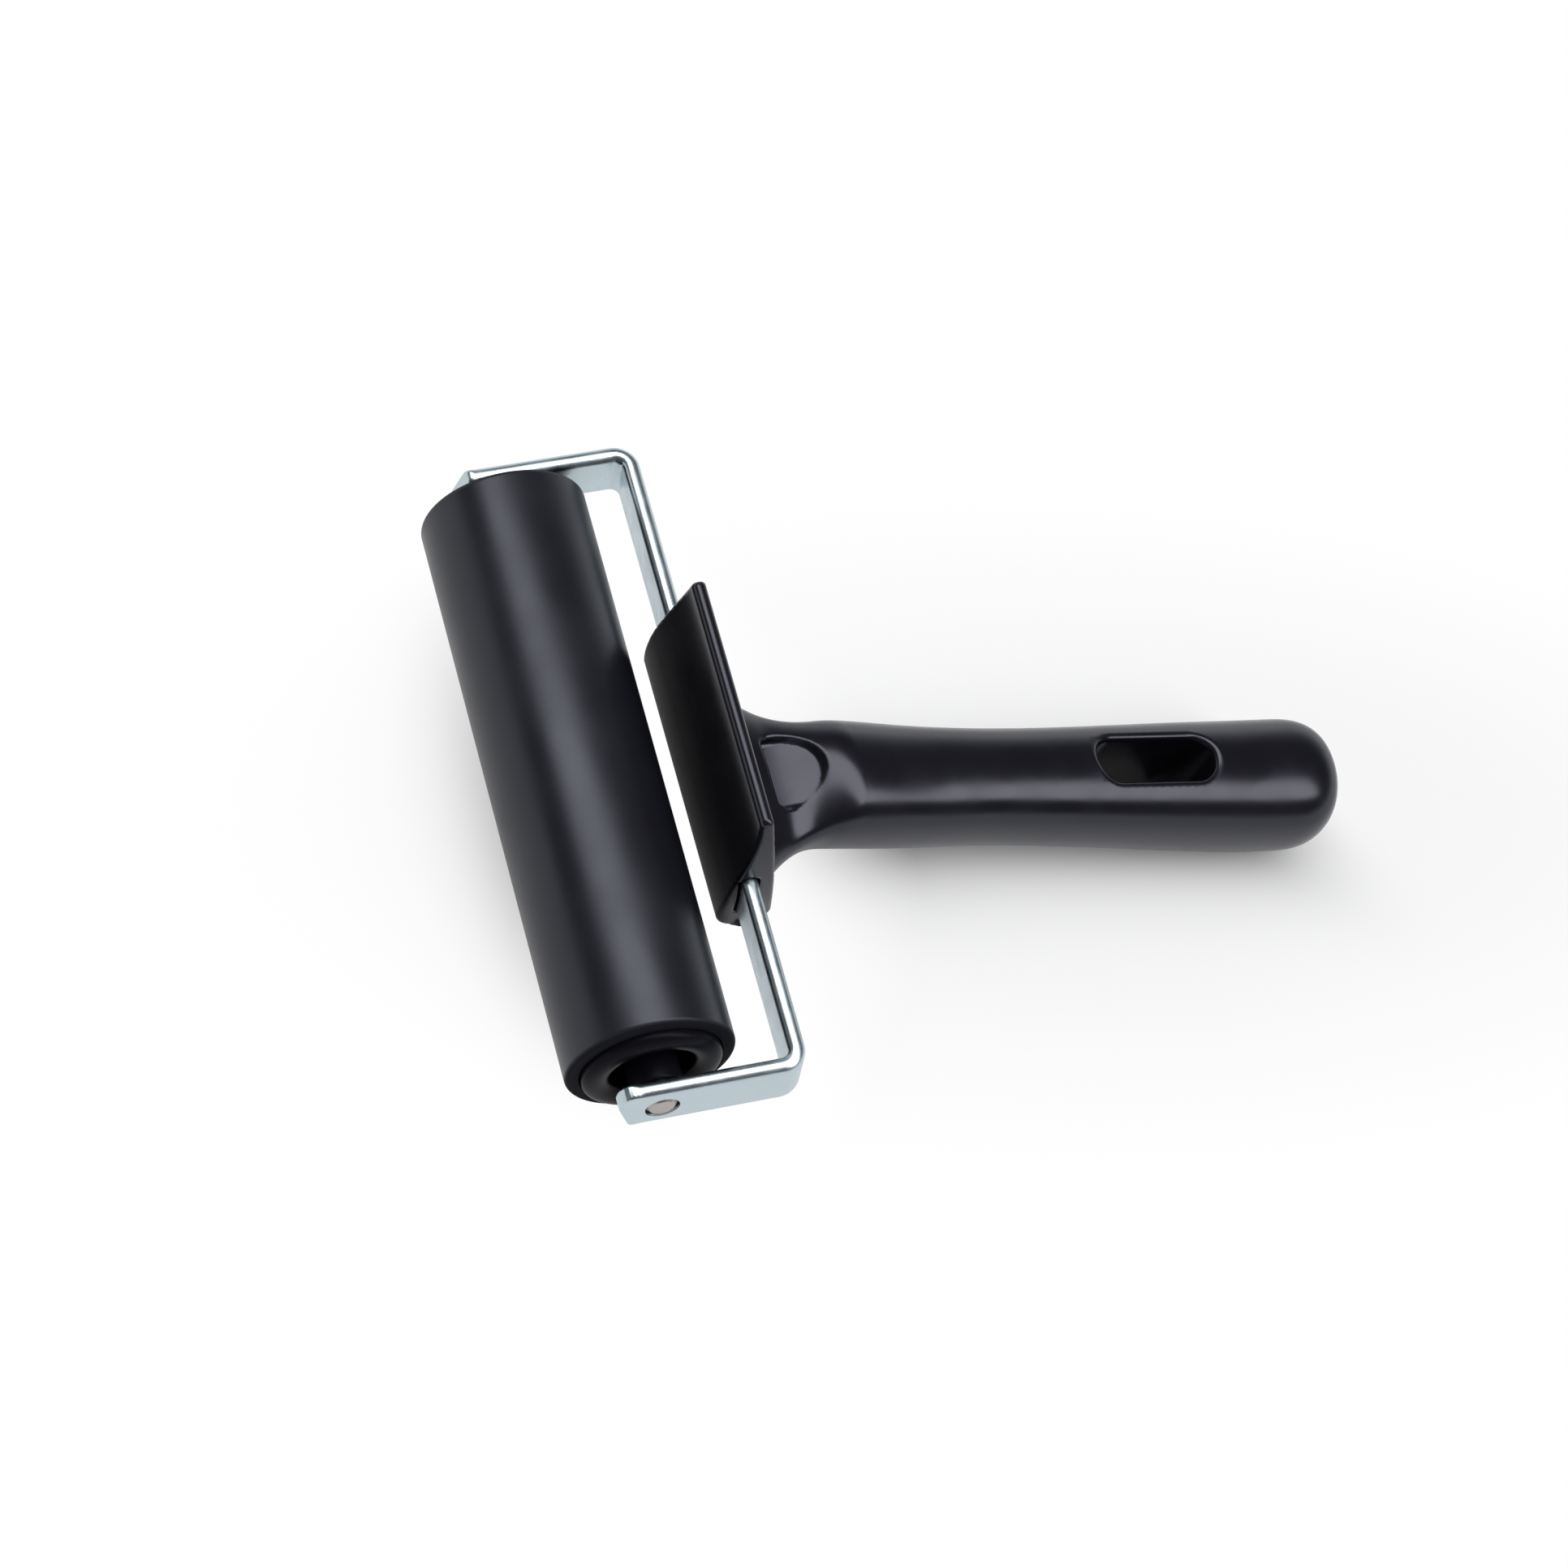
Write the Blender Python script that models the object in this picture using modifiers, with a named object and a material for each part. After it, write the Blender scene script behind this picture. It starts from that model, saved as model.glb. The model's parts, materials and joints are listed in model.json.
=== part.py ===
"""Rubber brayer: a rubber-covered roller in a bent steel strap with a moulded plastic handle.

The tool frame has its origin at the middle of the axle: X along the axle, Y from the
roller towards the handle, Z square to the strap. The whole tool is then tilted so that
it lies on its roller and on the end of its handle, with the table at Z = 0.
"""

import math

import bmesh
import bpy
import numpy as np

MM = 0.001

# Roller
ROLLER_LENGTH = 100 * MM
ROLLER_DIAMETER = 27.0 * MM
SLEEVE_WALL = 2.2 * MM
SLEEVE_EDGE_RADIUS = 0.9 * MM
CORE_WALL = 2.0 * MM
PRESS_GAP = 0.15 * MM

# End plugs that close the core and turn on the axle
PLUG_FLANGE = 2.0 * MM
PLUG_LIP_HEIGHT = 1.4 * MM
PLUG_LIP_WIDTH = 4.4 * MM
PLUG_DISH_DEPTH = 3.0 * MM
PLUG_WALL = 1.8 * MM
PLUG_SPIGOT = 12.0 * MM
PLUG_HUB_DIAMETER = 8.4 * MM
PLUG_HUB_CHAMFER = 0.5 * MM

# Axle
AXLE_DIAMETER = 6.0 * MM
AXLE_END_DIAMETER = 5.0 * MM
AXLE_END_CHAMFER = 0.3 * MM
RUNNING_GAP = 0.08 * MM
THRUST_GAP = 0.35 * MM
HOLE_GAP = 0.2 * MM

# Steel strap
STRAP_THICKNESS = 2.7 * MM
STRAP_WIDTH = 10.0 * MM
STRAP_EDGE_RADIUS = 0.95 * MM
STRAP_BEND_RADIUS = 1.5 * MM
ROLLER_END_CLEARANCE = 4.3 * MM
ROLLER_TO_BAR = 6.8 * MM
ARM_PAST_AXLE = 4.4 * MM
EAR_LENGTH = 2.8 * MM
EAR_SLANT = 2.3 * MM
EAR_FLARE = 0.15 * MM
EAR_TOP_ROUNDING = 2.2 * MM
EAR_BOTTOM_ROUNDING = 0.5 * MM
EAR_COINING = 0.06 * MM

# Head of the handle, which is moulded round the strap
HEAD_HALF_LENGTH_TOP = 22.0 * MM
HEAD_HALF_LENGTH_MIDDLE = 25.0 * MM
HEAD_HALF_LENGTH_BOTTOM = 24.0 * MM
HEAD_TOP = 18.6 * MM
HEAD_MIDDLE = 6.5 * MM
HEAD_BOTTOM = -10.2 * MM
HEAD_BLADE = 2.2 * MM
HEAD_BACK_WALL = 3.4 * MM
HEAD_BLADE_LEAN = 1.7 * MM
HEAD_TOE = 2.9 * MM
HEAD_TOE_RADIUS = 4.6 * MM
HEAD_HEEL_RADIUS = 3.6 * MM
HEAD_SIDE_RADIUS = 3.0 * MM
HEAD_EDGE = 0.6 * MM
STRAP_POCKET_GAP = 0.3 * MM

# Grip, measured along its own axis from the axle
GRIP_ANGLE = math.radians(19.0)
GRIP_END = 140.4 * MM
GRIP_WAIST_AT = 75.0 * MM
GRIP_WAIST_WIDTH = 19.0 * MM
GRIP_WAIST_DEPTH = 18.6 * MM
GRIP_BULGE_AT = 130.0 * MM
GRIP_BULGE_WIDTH = 22.0 * MM
GRIP_BULGE_DEPTH = 21.5 * MM
GRIP_DOME = 10.6 * MM
GRIP_SQUARENESS = 2.1
GRIP_DOME_SQUARENESS = 3.0
GRIP_BOW = 0.9 * MM
GRIP_BOW_LENGTH = 20.0 * MM

# Neck, where the grip spreads into the head
NECK_LENGTH = 18.0 * MM
NECK_ROOT_WIDTH = 45.0 * MM
NECK_SWELL = 2.1 * MM
NECK_TOP_DIP = 5.0 * MM
NECK_DIP_LENGTH = 24.0 * MM
NECK_SAG = 1.6 * MM
NECK_CHIN_RISE = 7.4 * MM
NECK_TOP_FILLET = 3.5 * MM

# Thumb rest on the neck and hanging slot near the end of the grip
THUMB_WIDTH = 15.2 * MM
THUMB_LENGTH = 11.6 * MM
THUMB_CORNER = 2.5 * MM
THUMB_DEPTH = 1.0 * MM
THUMB_TILT = math.radians(23.0)
THUMB_SETBACK = 3.9 * MM
SLOT_LENGTH = 22.1 * MM
SLOT_WIDTH = 7.9 * MM
SLOT_TO_END = 26.0 * MM

# Fineness of the facets
ROLLER_FACETS = 64
AXLE_FACETS = 48
GRIP_FACETS = 44
ARC_STEPS = 6
MERGE_DISTANCE = 0.00001

# Sizes that follow from the ones above
ROLLER_RADIUS = ROLLER_DIAMETER / 2
HALF_ROLLER = ROLLER_LENGTH / 2
SLEEVE_BORE = ROLLER_RADIUS - SLEEVE_WALL
CORE_RADIUS = SLEEVE_BORE - PRESS_GAP
CORE_BORE = CORE_RADIUS - CORE_WALL
ARM_INSIDE = HALF_ROLLER + ROLLER_END_CLEARANCE
ARM_OUTSIDE = ARM_INSIDE + STRAP_THICKNESS
AXLE_TO_BAR = ROLLER_RADIUS + ROLLER_TO_BAR
BAR_OUTSIDE = AXLE_TO_BAR + STRAP_THICKNESS
HEAD_BACK = BAR_OUTSIDE + HEAD_BACK_WALL
AXLE_END_RADIUS = AXLE_END_DIAMETER / 2
NECK_ROOT = HEAD_BACK * math.cos(GRIP_ANGLE) + STRAP_POCKET_GAP
NECK_START = NECK_ROOT - HEAD_BLADE
NECK_END = NECK_ROOT + NECK_LENGTH
SLOT_CENTRE = GRIP_END - SLOT_TO_END - SLOT_LENGTH / 2


def clear_scene():
    """Remove every object, so that the script can be run again."""
    for old_object in list(bpy.data.objects):
        bpy.data.objects.remove(old_object, do_unlink=True)


def make_collection(name):
    """Return a new collection linked to the scene."""
    collection = bpy.data.collections.new(name)
    bpy.context.scene.collection.children.link(collection)
    return collection


def make_material(name, colour, roughness, metallic=0.0):
    """Return a Principled material of one colour."""
    material = bpy.data.materials.new(name)
    material.use_nodes = True
    shader = material.node_tree.nodes["Principled BSDF"]
    shader.inputs["Base Color"].default_value = (*colour, 1.0)
    shader.inputs["Roughness"].default_value = roughness
    shader.inputs["Metallic"].default_value = metallic
    material.diffuse_color = (*colour, 1.0)
    return material


def make_empty(name, collection, parent=None):
    """Return an empty that carries other objects."""
    empty = bpy.data.objects.new(name, None)
    collection.objects.link(empty)
    empty.parent = parent
    return empty


def make_object(name, data, collection, parent, material=None):
    """Link mesh or curve data as a named object under its parent."""
    new_object = bpy.data.objects.new(name, data)
    collection.objects.link(new_object)
    new_object.parent = parent
    if material is not None:
        data.materials.append(material)
    return new_object


def make_guide(guide):
    """Mark an object that only shapes others."""
    guide.hide_render = True
    guide.display_type = "WIRE"
    return guide


def smooth_step(value):
    """Go from 0 to 1 with level ends."""
    value = min(max(value, 0.0), 1.0)
    return value * value * (3 - 2 * value)


def arc(centre, radius, start, end, steps=ARC_STEPS):
    """Return points on a circular arc, angles in degrees."""
    angles = np.radians(np.linspace(start, end, steps + 1))
    return [(centre[0] + radius * math.cos(a), centre[1] + radius * math.sin(a)) for a in angles]


def rounded_outline(corners):
    """Return a closed outline whose (x, y, radius) corners are rounded by arcs."""
    outline = []
    for i, (x, y, radius) in enumerate(corners):
        corner = np.array((x, y))
        before = np.array(corners[i - 1][:2]) - corner
        after = np.array(corners[(i + 1) % len(corners)][:2]) - corner
        before /= np.linalg.norm(before)
        after /= np.linalg.norm(after)
        half_angle = math.acos(np.clip(before @ after, -1, 1)) / 2
        middle = before + after
        centre = corner + middle / np.linalg.norm(middle) * radius / math.sin(half_angle)
        if radius == 0:
            outline.append((x, y))
            continue
        first = corner + before * radius / math.tan(half_angle) - centre
        last = corner + after * radius / math.tan(half_angle) - centre
        start = math.degrees(math.atan2(first[1], first[0]))
        turn = math.degrees(math.atan2(first[0] * last[1] - first[1] * last[0], first @ last))
        outline += arc(centre, radius, start, start + turn)
    return outline


def turned(name, profile, facets, collection, parent, material, closed):
    """Turn a profile of (radius, height) points round the axle's direction."""
    mesh = bpy.data.meshes.new(name)
    points = [(radius, 0.0, height) for radius, height in profile]
    edges = [(i, i + 1) for i in range(len(points) - 1)]
    if closed:
        edges.append((len(points) - 1, 0))
    mesh.from_pydata(points, edges, [])
    piece = make_object(name, mesh, collection, parent, material)
    piece.rotation_euler = (0.0, math.pi / 2, 0.0)
    screw = piece.modifiers.new("turn", "SCREW")
    screw.steps = facets
    screw.render_steps = facets
    screw.use_merge_vertices = True
    screw.merge_threshold = MERGE_DISTANCE
    screw.use_smooth_shade = True
    return piece


def outline_curve(name, outline, half_height, collection, parent, edge_radius=0.0):
    """Extrude a closed outline of (x, y) points both ways, with rounded rims."""
    curve = bpy.data.curves.new(name, "CURVE")
    curve.dimensions = "2D"
    curve.fill_mode = "BOTH"
    curve.extrude = half_height - edge_radius
    curve.bevel_depth = edge_radius
    curve.bevel_resolution = 3
    curve.offset = -edge_radius
    spline = curve.splines.new("POLY")
    spline.points.add(len(outline) - 1)
    for point, (x, y) in zip(spline.points, outline):
        point.co = (x, y, 0.0, 1.0)
    spline.use_cyclic_u = True
    return make_object(name, curve, collection, parent)


def as_mesh(curve_object, material=None):
    """Replace a curve object by a welded mesh object of the same name and place."""
    name = curve_object.name
    collection = curve_object.users_collection[0]
    parent = curve_object.parent
    place = curve_object.matrix_basis.copy()
    bpy.context.view_layer.update()
    evaluated = curve_object.evaluated_get(bpy.context.evaluated_depsgraph_get())
    mesh = bpy.data.meshes.new_from_object(evaluated)
    bpy.data.objects.remove(curve_object, do_unlink=True)
    welded = bmesh.new()
    welded.from_mesh(mesh)
    bmesh.ops.remove_doubles(welded, verts=welded.verts, dist=MERGE_DISTANCE)
    bmesh.ops.recalc_face_normals(welded, faces=welded.faces)
    welded.to_mesh(mesh)
    welded.free()
    mesh.materials.clear()
    piece = make_object(name, mesh, collection, parent, material)
    piece.matrix_basis = place
    return piece


def boolean(piece, operand, operation):
    """Cut the operand out of a piece, or join it on."""
    modifier = piece.modifiers.new(operation.lower(), "BOOLEAN")
    modifier.object = operand
    modifier.operation = operation
    modifier.solver = "EXACT"


def shade_round(piece):
    """Shade a piece smooth, with its real edges kept."""
    piece.data.shade_smooth()
    piece.data.set_sharp_from_angle(angle=math.radians(35))


def rubber_sleeve(collection, parent, material):
    """Rubber tube with rounded rims, which carries the ink."""
    rim = HALF_ROLLER - SLEEVE_EDGE_RADIUS
    shoulder = ROLLER_RADIUS - SLEEVE_EDGE_RADIUS
    profile = [(SLEEVE_BORE, HALF_ROLLER)]
    profile += arc((shoulder, rim), SLEEVE_EDGE_RADIUS, 90, 0)
    profile += arc((shoulder, -rim), SLEEVE_EDGE_RADIUS, 0, -90)
    profile += [(SLEEVE_BORE, -HALF_ROLLER)]
    turned("rubber_sleeve", profile, ROLLER_FACETS, collection, parent, material, closed=True)


def core_tube(collection, parent, material):
    """Stiff tube inside the rubber, short of its ends by the plugs' flanges."""
    half = HALF_ROLLER - PLUG_FLANGE - PRESS_GAP
    profile = [(CORE_RADIUS, half), (CORE_RADIUS, -half), (CORE_BORE, -half), (CORE_BORE, half)]
    turned("core_tube", profile, ROLLER_FACETS, collection, parent, material, closed=True)


def end_plug(name, side, collection, parent, material):
    """Plug pressed into the core: spigot, rolled lip, dish, and a hub that runs on the axle."""
    bore = AXLE_DIAMETER / 2 + RUNNING_GAP
    hub = PLUG_HUB_DIAMETER / 2
    hub_end = ROLLER_END_CLEARANCE - THRUST_GAP
    spigot = CORE_BORE - PRESS_GAP
    dish = CORE_RADIUS - PLUG_LIP_WIDTH
    lip_middle = CORE_RADIUS - PLUG_LIP_WIDTH / 2
    web = -PLUG_DISH_DEPTH - PLUG_WALL
    lip_angles = np.linspace(math.pi, 0, 2 * ARC_STEPS + 1)
    lip = [(lip_middle + PLUG_LIP_WIDTH / 2 * math.cos(a), PLUG_LIP_HEIGHT * math.sin(a)) for a in lip_angles]
    profile = [(bore, hub_end), (hub - PLUG_HUB_CHAMFER, hub_end), (hub, hub_end - PLUG_HUB_CHAMFER)]
    profile += [(hub, -PLUG_DISH_DEPTH), (dish, -PLUG_DISH_DEPTH)]
    profile += lip
    profile += [(CORE_RADIUS, -PLUG_FLANGE), (spigot, -PLUG_FLANGE), (spigot, -PLUG_SPIGOT)]
    profile += [(spigot - PLUG_WALL, -PLUG_SPIGOT), (spigot - PLUG_WALL, web)]
    profile += [(hub, web), (hub, -PLUG_SPIGOT), (bore, -PLUG_SPIGOT)]
    plug = turned(name, profile, ROLLER_FACETS, collection, parent, material, closed=True)
    plug.location = (side * HALF_ROLLER, 0.0, 0.0)
    plug.rotation_euler = (0.0, side * math.pi / 2, 0.0)


def axle(collection, parent, material):
    """Steel rod with shouldered ends that sit in the holes of the strap."""
    shoulder = ARM_INSIDE - THRUST_GAP / 2
    half_profile = [
        (0.0, ARM_OUTSIDE),
        (AXLE_END_RADIUS - AXLE_END_CHAMFER, ARM_OUTSIDE),
        (AXLE_END_RADIUS, ARM_OUTSIDE - AXLE_END_CHAMFER),
        (AXLE_END_RADIUS, shoulder),
        (AXLE_DIAMETER / 2, shoulder),
    ]
    profile = half_profile + [(radius, -height) for radius, height in reversed(half_profile)]
    turned("axle", profile, AXLE_FACETS, collection, parent, material, closed=False)


def strap_outline():
    """Outline of the bent strap seen from above: three sides with rounded bends."""
    outer_bend = STRAP_BEND_RADIUS + STRAP_THICKNESS
    right = [(ARM_OUTSIDE, -ARM_PAST_AXLE, 0.0), (ARM_OUTSIDE, BAR_OUTSIDE, outer_bend)]
    right_inside = [(ARM_INSIDE, AXLE_TO_BAR, STRAP_BEND_RADIUS), (ARM_INSIDE, -ARM_PAST_AXLE, 0.0)]
    left = [(-x, y, radius) for x, y, radius in reversed(right)]
    left_inside = [(-x, y, radius) for x, y, radius in reversed(right_inside)]
    return rounded_outline(right + left + left_inside + right_inside)


def ear_outline():
    """Flattened end of an arm, wider than the strap and cut on a slant, as (Y, Z)."""
    root = -ARM_PAST_AXLE + STRAP_THICKNESS / 2
    tip = -ARM_PAST_AXLE - EAR_LENGTH
    wide = STRAP_WIDTH / 2 + EAR_FLARE
    inner = STRAP_WIDTH / 2 - STRAP_EDGE_RADIUS
    return rounded_outline([
        (root, inner, 0.0),
        (-ARM_PAST_AXLE, wide, 0.0),
        (tip, wide, EAR_TOP_ROUNDING),
        (tip + EAR_SLANT, -wide, EAR_BOTTOM_ROUNDING),
        (-ARM_PAST_AXLE, -wide, 0.0),
        (root, -inner, 0.0),
    ])


def strap_frame(collection, cutters, parent, material):
    """Zinc-plated strap bent to a U, with coined ears and a hole for the axle in each arm."""
    strap = outline_curve(
        "strap_frame", strap_outline(), STRAP_WIDTH / 2, collection, parent, STRAP_EDGE_RADIUS
    )
    strap = as_mesh(strap, material)
    for side in (-1, 1):
        ear = outline_curve(
            f"ear_{side}", ear_outline(), STRAP_THICKNESS / 2 - EAR_COINING, cutters, parent
        )
        ear.location = (side * (ARM_INSIDE + STRAP_THICKNESS / 2), 0.0, 0.0)
        ear.rotation_euler = (math.pi / 2, 0.0, math.pi / 2)
        boolean(strap, make_guide(as_mesh(ear)), "UNION")
        bpy.ops.mesh.primitive_cylinder_add(
            vertices=AXLE_FACETS, radius=AXLE_END_RADIUS + HOLE_GAP, depth=4 * STRAP_THICKNESS
        )
        hole = bpy.context.object
        hole.name = f"axle_hole_{side}"
        for owner in list(hole.users_collection):
            owner.objects.unlink(hole)
        cutters.objects.link(hole)
        hole.parent = parent
        hole.location = (side * (ARM_INSIDE + STRAP_THICKNESS / 2), 0.0, 0.0)
        hole.rotation_euler = (0.0, math.pi / 2, 0.0)
        boolean(strap, make_guide(hole), "DIFFERENCE")
    shade_round(strap)


def head_end_outline():
    """End view of the head as (Y, Z): a thin blade that sweeps down to a toe round the strap."""
    blade_back = HEAD_BACK - HEAD_BLADE_LEAN
    blade_front = blade_back - HEAD_BLADE
    toe_front = AXLE_TO_BAR - HEAD_TOE
    toe_top = HEAD_BOTTOM + HEAD_TOE_RADIUS
    steps = np.linspace(0, 1, 2 * ARC_STEPS + 1)[1:]
    sweep = [(toe_front + (blade_front - toe_front) * smooth_step(t), toe_top + (HEAD_TOP - toe_top) * t)
             for t in steps]
    heel = arc((HEAD_BACK - HEAD_HEEL_RADIUS, HEAD_BOTTOM + HEAD_HEEL_RADIUS), HEAD_HEEL_RADIUS, 0, -90)
    toe = arc((toe_front + HEAD_TOE_RADIUS, toe_top), HEAD_TOE_RADIUS, 270, 180)
    return [(blade_back, HEAD_TOP)] + heel + toe + sweep


def head_front_outline():
    """Front view of the head as (X, Z), widest just above the strap."""
    right = [
        (HEAD_HALF_LENGTH_BOTTOM, HEAD_BOTTOM - HEAD_EDGE, 0.0),
        (HEAD_HALF_LENGTH_MIDDLE, HEAD_MIDDLE, HEAD_SIDE_RADIUS),
        (HEAD_HALF_LENGTH_TOP, HEAD_TOP + HEAD_EDGE, 0.0),
    ]
    left = [(-x, z, radius) for x, z, radius in reversed(right)]
    return rounded_outline(right + left)


def grip_swell(along):
    """Share of the bulge at a distance along the grip: 0 at the waist, 1 at the bulge."""
    return smooth_step((along - GRIP_WAIST_AT) / (GRIP_BULGE_AT - GRIP_WAIST_AT))


def grip_half_width(along):
    """Half the width of the grip, which spreads in a parabola at the neck."""
    width = GRIP_WAIST_WIDTH + grip_swell(along) * (GRIP_BULGE_WIDTH - GRIP_WAIST_WIDTH)
    width += NECK_SWELL * smooth_step((GRIP_WAIST_AT - along) / (GRIP_WAIST_AT - NECK_END))
    spread = min(max(0.0, (NECK_END - along) / NECK_LENGTH), 1.0)
    return (width + (NECK_ROOT_WIDTH - width) * spread ** 2) / 2


def grip_half_depth(along):
    """Half the depth of the plain grip."""
    return (GRIP_WAIST_DEPTH + grip_swell(along) * (GRIP_BULGE_DEPTH - GRIP_WAIST_DEPTH)) / 2


def grip_bow(along):
    """How far the middle of the grip hangs below its axis."""
    from_neck = smooth_step((along - NECK_END) / GRIP_BOW_LENGTH)
    from_end = smooth_step((GRIP_END - along) / GRIP_BOW_LENGTH)
    return GRIP_BOW * from_neck * from_end


def grip_top(along):
    """Height of the grip above its axis, with the dip for the thumb at the neck."""
    dip = NECK_TOP_DIP * smooth_step((NECK_END + NECK_DIP_LENGTH / 2 - along) / NECK_DIP_LENGTH)
    fillet = max(0.0, NECK_ROOT + NECK_TOP_FILLET - along)
    return grip_half_depth(along) - grip_bow(along) - dip + fillet ** 2 / (2 * NECK_TOP_FILLET)


def grip_bottom(along):
    """Height of the underside, below the axis, which rises to the head under the neck."""
    rise = smooth_step((NECK_END - along) / (NECK_END - NECK_START))
    return NECK_CHIN_RISE * rise - grip_half_depth(along) - grip_bow(along)


def grip_middle(along):
    """Height of the widest line of the grip, which drops towards the head."""
    return -NECK_SAG * smooth_step((NECK_END - along) / NECK_LENGTH) - grip_bow(along)


def grip_section(along, shrink):
    """Ring of points round the grip: a squared-off ellipse, shrunk towards the dome's tip."""
    middle = grip_middle(along)
    ring = []
    for angle in np.linspace(0, 2 * math.pi, GRIP_FACETS, endpoint=False):
        across = math.copysign(abs(math.cos(angle)) ** (2 / GRIP_SQUARENESS), math.cos(angle))
        height = abs(math.sin(angle)) ** (2 / GRIP_SQUARENESS)
        limit = grip_top(along) if math.sin(angle) > 0 else grip_bottom(along)
        level = middle + height * (limit - middle)
        ring.append((shrink * grip_half_width(along) * across, along, shrink * level))
    return ring


def grip_stations():
    """Places of the rings along the grip, each with its shrink factor."""
    dome_start = GRIP_END - GRIP_DOME
    neck = [(along, 1.0) for along in np.linspace(NECK_START, NECK_END, 9, endpoint=False)]
    shaft = [(along, 1.0) for along in np.linspace(NECK_END, dome_start, 11, endpoint=False)]
    turns = np.linspace(0, math.pi / 2, 9)[:-1]
    power = 2 / GRIP_DOME_SQUARENESS
    dome = [(dome_start + GRIP_DOME * math.sin(a) ** power, math.cos(a) ** power) for a in turns]
    return neck + shaft + dome


def grip(cutters, parent):
    """Loft the grip through its rings, with a flat root inside the head and a tip."""
    model = bmesh.new()
    rings = [[model.verts.new(p) for p in grip_section(*station)] for station in grip_stations()]
    tip = model.verts.new((0.0, GRIP_END, 0.0))
    model.faces.new(rings[0])
    for near_ring, far_ring in zip(rings, rings[1:]):
        for i in range(GRIP_FACETS):
            j = (i + 1) % GRIP_FACETS
            model.faces.new((near_ring[i], near_ring[j], far_ring[j], far_ring[i]))
    for i in range(GRIP_FACETS):
        model.faces.new((rings[-1][i], rings[-1][(i + 1) % GRIP_FACETS], tip))
    bmesh.ops.recalc_face_normals(model, faces=model.faces)
    mesh = bpy.data.meshes.new("grip")
    model.to_mesh(mesh)
    model.free()
    return make_guide(make_object("grip", mesh, cutters, parent))


def hanging_slot(cutters, parent):
    """Cutter with round ends for the slot that hangs the tool on a peg."""
    half_run = (SLOT_LENGTH - SLOT_WIDTH) / 2
    outline = arc((0.0, half_run), SLOT_WIDTH / 2, 0, 180, 2 * ARC_STEPS)
    outline += arc((0.0, -half_run), SLOT_WIDTH / 2, 180, 360, 2 * ARC_STEPS)
    cutter = outline_curve("hanging_slot", outline, GRIP_BULGE_DEPTH, cutters, parent)
    cutter.location = (0.0, SLOT_CENTRE, 0.0)
    return make_guide(as_mesh(cutter))


def thumb_rest(cutters, parent):
    """Cutter for the D-shaped pocket under the thumb, whose flat floor faces the roller."""
    half = THUMB_WIDTH / 2
    head_side = THUMB_CORNER - THUMB_LENGTH
    outline = arc((0.0, -half), half, 0, 180, 2 * ARC_STEPS)
    outline += arc((-half + THUMB_CORNER, head_side), THUMB_CORNER, 180, 270)
    outline += arc((half - THUMB_CORNER, head_side), THUMB_CORNER, 270, 360)
    cutter = outline_curve("thumb_rest", outline, GRIP_BULGE_DEPTH / 2, cutters, parent)
    end = NECK_ROOT + THUMB_SETBACK + THUMB_LENGTH
    lift = GRIP_BULGE_DEPTH / 2
    floor = grip_top(end) - THUMB_DEPTH
    cutter.location = (0.0, end - lift * math.sin(THUMB_TILT), floor + lift * math.cos(THUMB_TILT))
    cutter.rotation_euler = (THUMB_TILT, 0.0, 0.0)
    return make_guide(as_mesh(cutter))


def strap_channel(cutters, parent):
    """Cutter for the channel in which the head holds the strap."""
    low = AXLE_TO_BAR - STRAP_POCKET_GAP
    high = BAR_OUTSIDE + STRAP_POCKET_GAP
    outline = [(HEAD_HALF_LENGTH_BOTTOM * 2, low), (HEAD_HALF_LENGTH_BOTTOM * 2, high)]
    outline += [(-x, y) for x, y in reversed(outline)]
    half_height = STRAP_WIDTH / 2 + STRAP_POCKET_GAP
    radius = STRAP_EDGE_RADIUS + STRAP_POCKET_GAP
    return make_guide(as_mesh(outline_curve("strap_channel", outline, half_height, cutters, parent, radius)))


def handle(collection, cutters, parent, material):
    """One moulding: the head round the strap, the neck with its thumb rest, and the grip."""
    moulding = outline_curve("handle", head_end_outline(), HEAD_HALF_LENGTH_MIDDLE, collection, parent)
    moulding.rotation_euler = (math.pi / 2, 0.0, math.pi / 2)
    moulding = as_mesh(moulding, material)
    front = outline_curve("head_front", head_front_outline(), 2 * HEAD_BACK, cutters, parent)
    front.rotation_euler = (math.pi / 2, 0.0, 0.0)
    grip_axis = make_empty("grip_axis", cutters, parent)
    grip_axis.rotation_euler = (-GRIP_ANGLE, 0.0, 0.0)
    boolean(moulding, make_guide(as_mesh(front)), "INTERSECT")
    edges = moulding.modifiers.new("soft edges", "BEVEL")
    edges.width = HEAD_EDGE
    edges.segments = 2
    edges.limit_method = "ANGLE"
    edges.angle_limit = math.radians(40)
    edges.use_clamp_overlap = False
    boolean(moulding, grip(cutters, grip_axis), "UNION")
    boolean(moulding, strap_channel(cutters, parent), "DIFFERENCE")
    boolean(moulding, thumb_rest(cutters, grip_axis), "DIFFERENCE")
    boolean(moulding, hanging_slot(cutters, grip_axis), "DIFFERENCE")
    shade_round(moulding)
    return moulding


def world_points(piece):
    """Corner points of an object as it is shown, in world space."""
    bpy.context.view_layer.update()
    evaluated = piece.evaluated_get(bpy.context.evaluated_depsgraph_get())
    mesh = evaluated.to_mesh()
    flat = np.empty(3 * len(mesh.vertices))
    mesh.vertices.foreach_get("co", flat)
    evaluated.to_mesh_clear()
    matrix = np.array(piece.matrix_world)
    return flat.reshape(-1, 3) @ matrix[:3, :3].T + matrix[:3, 3]


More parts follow.
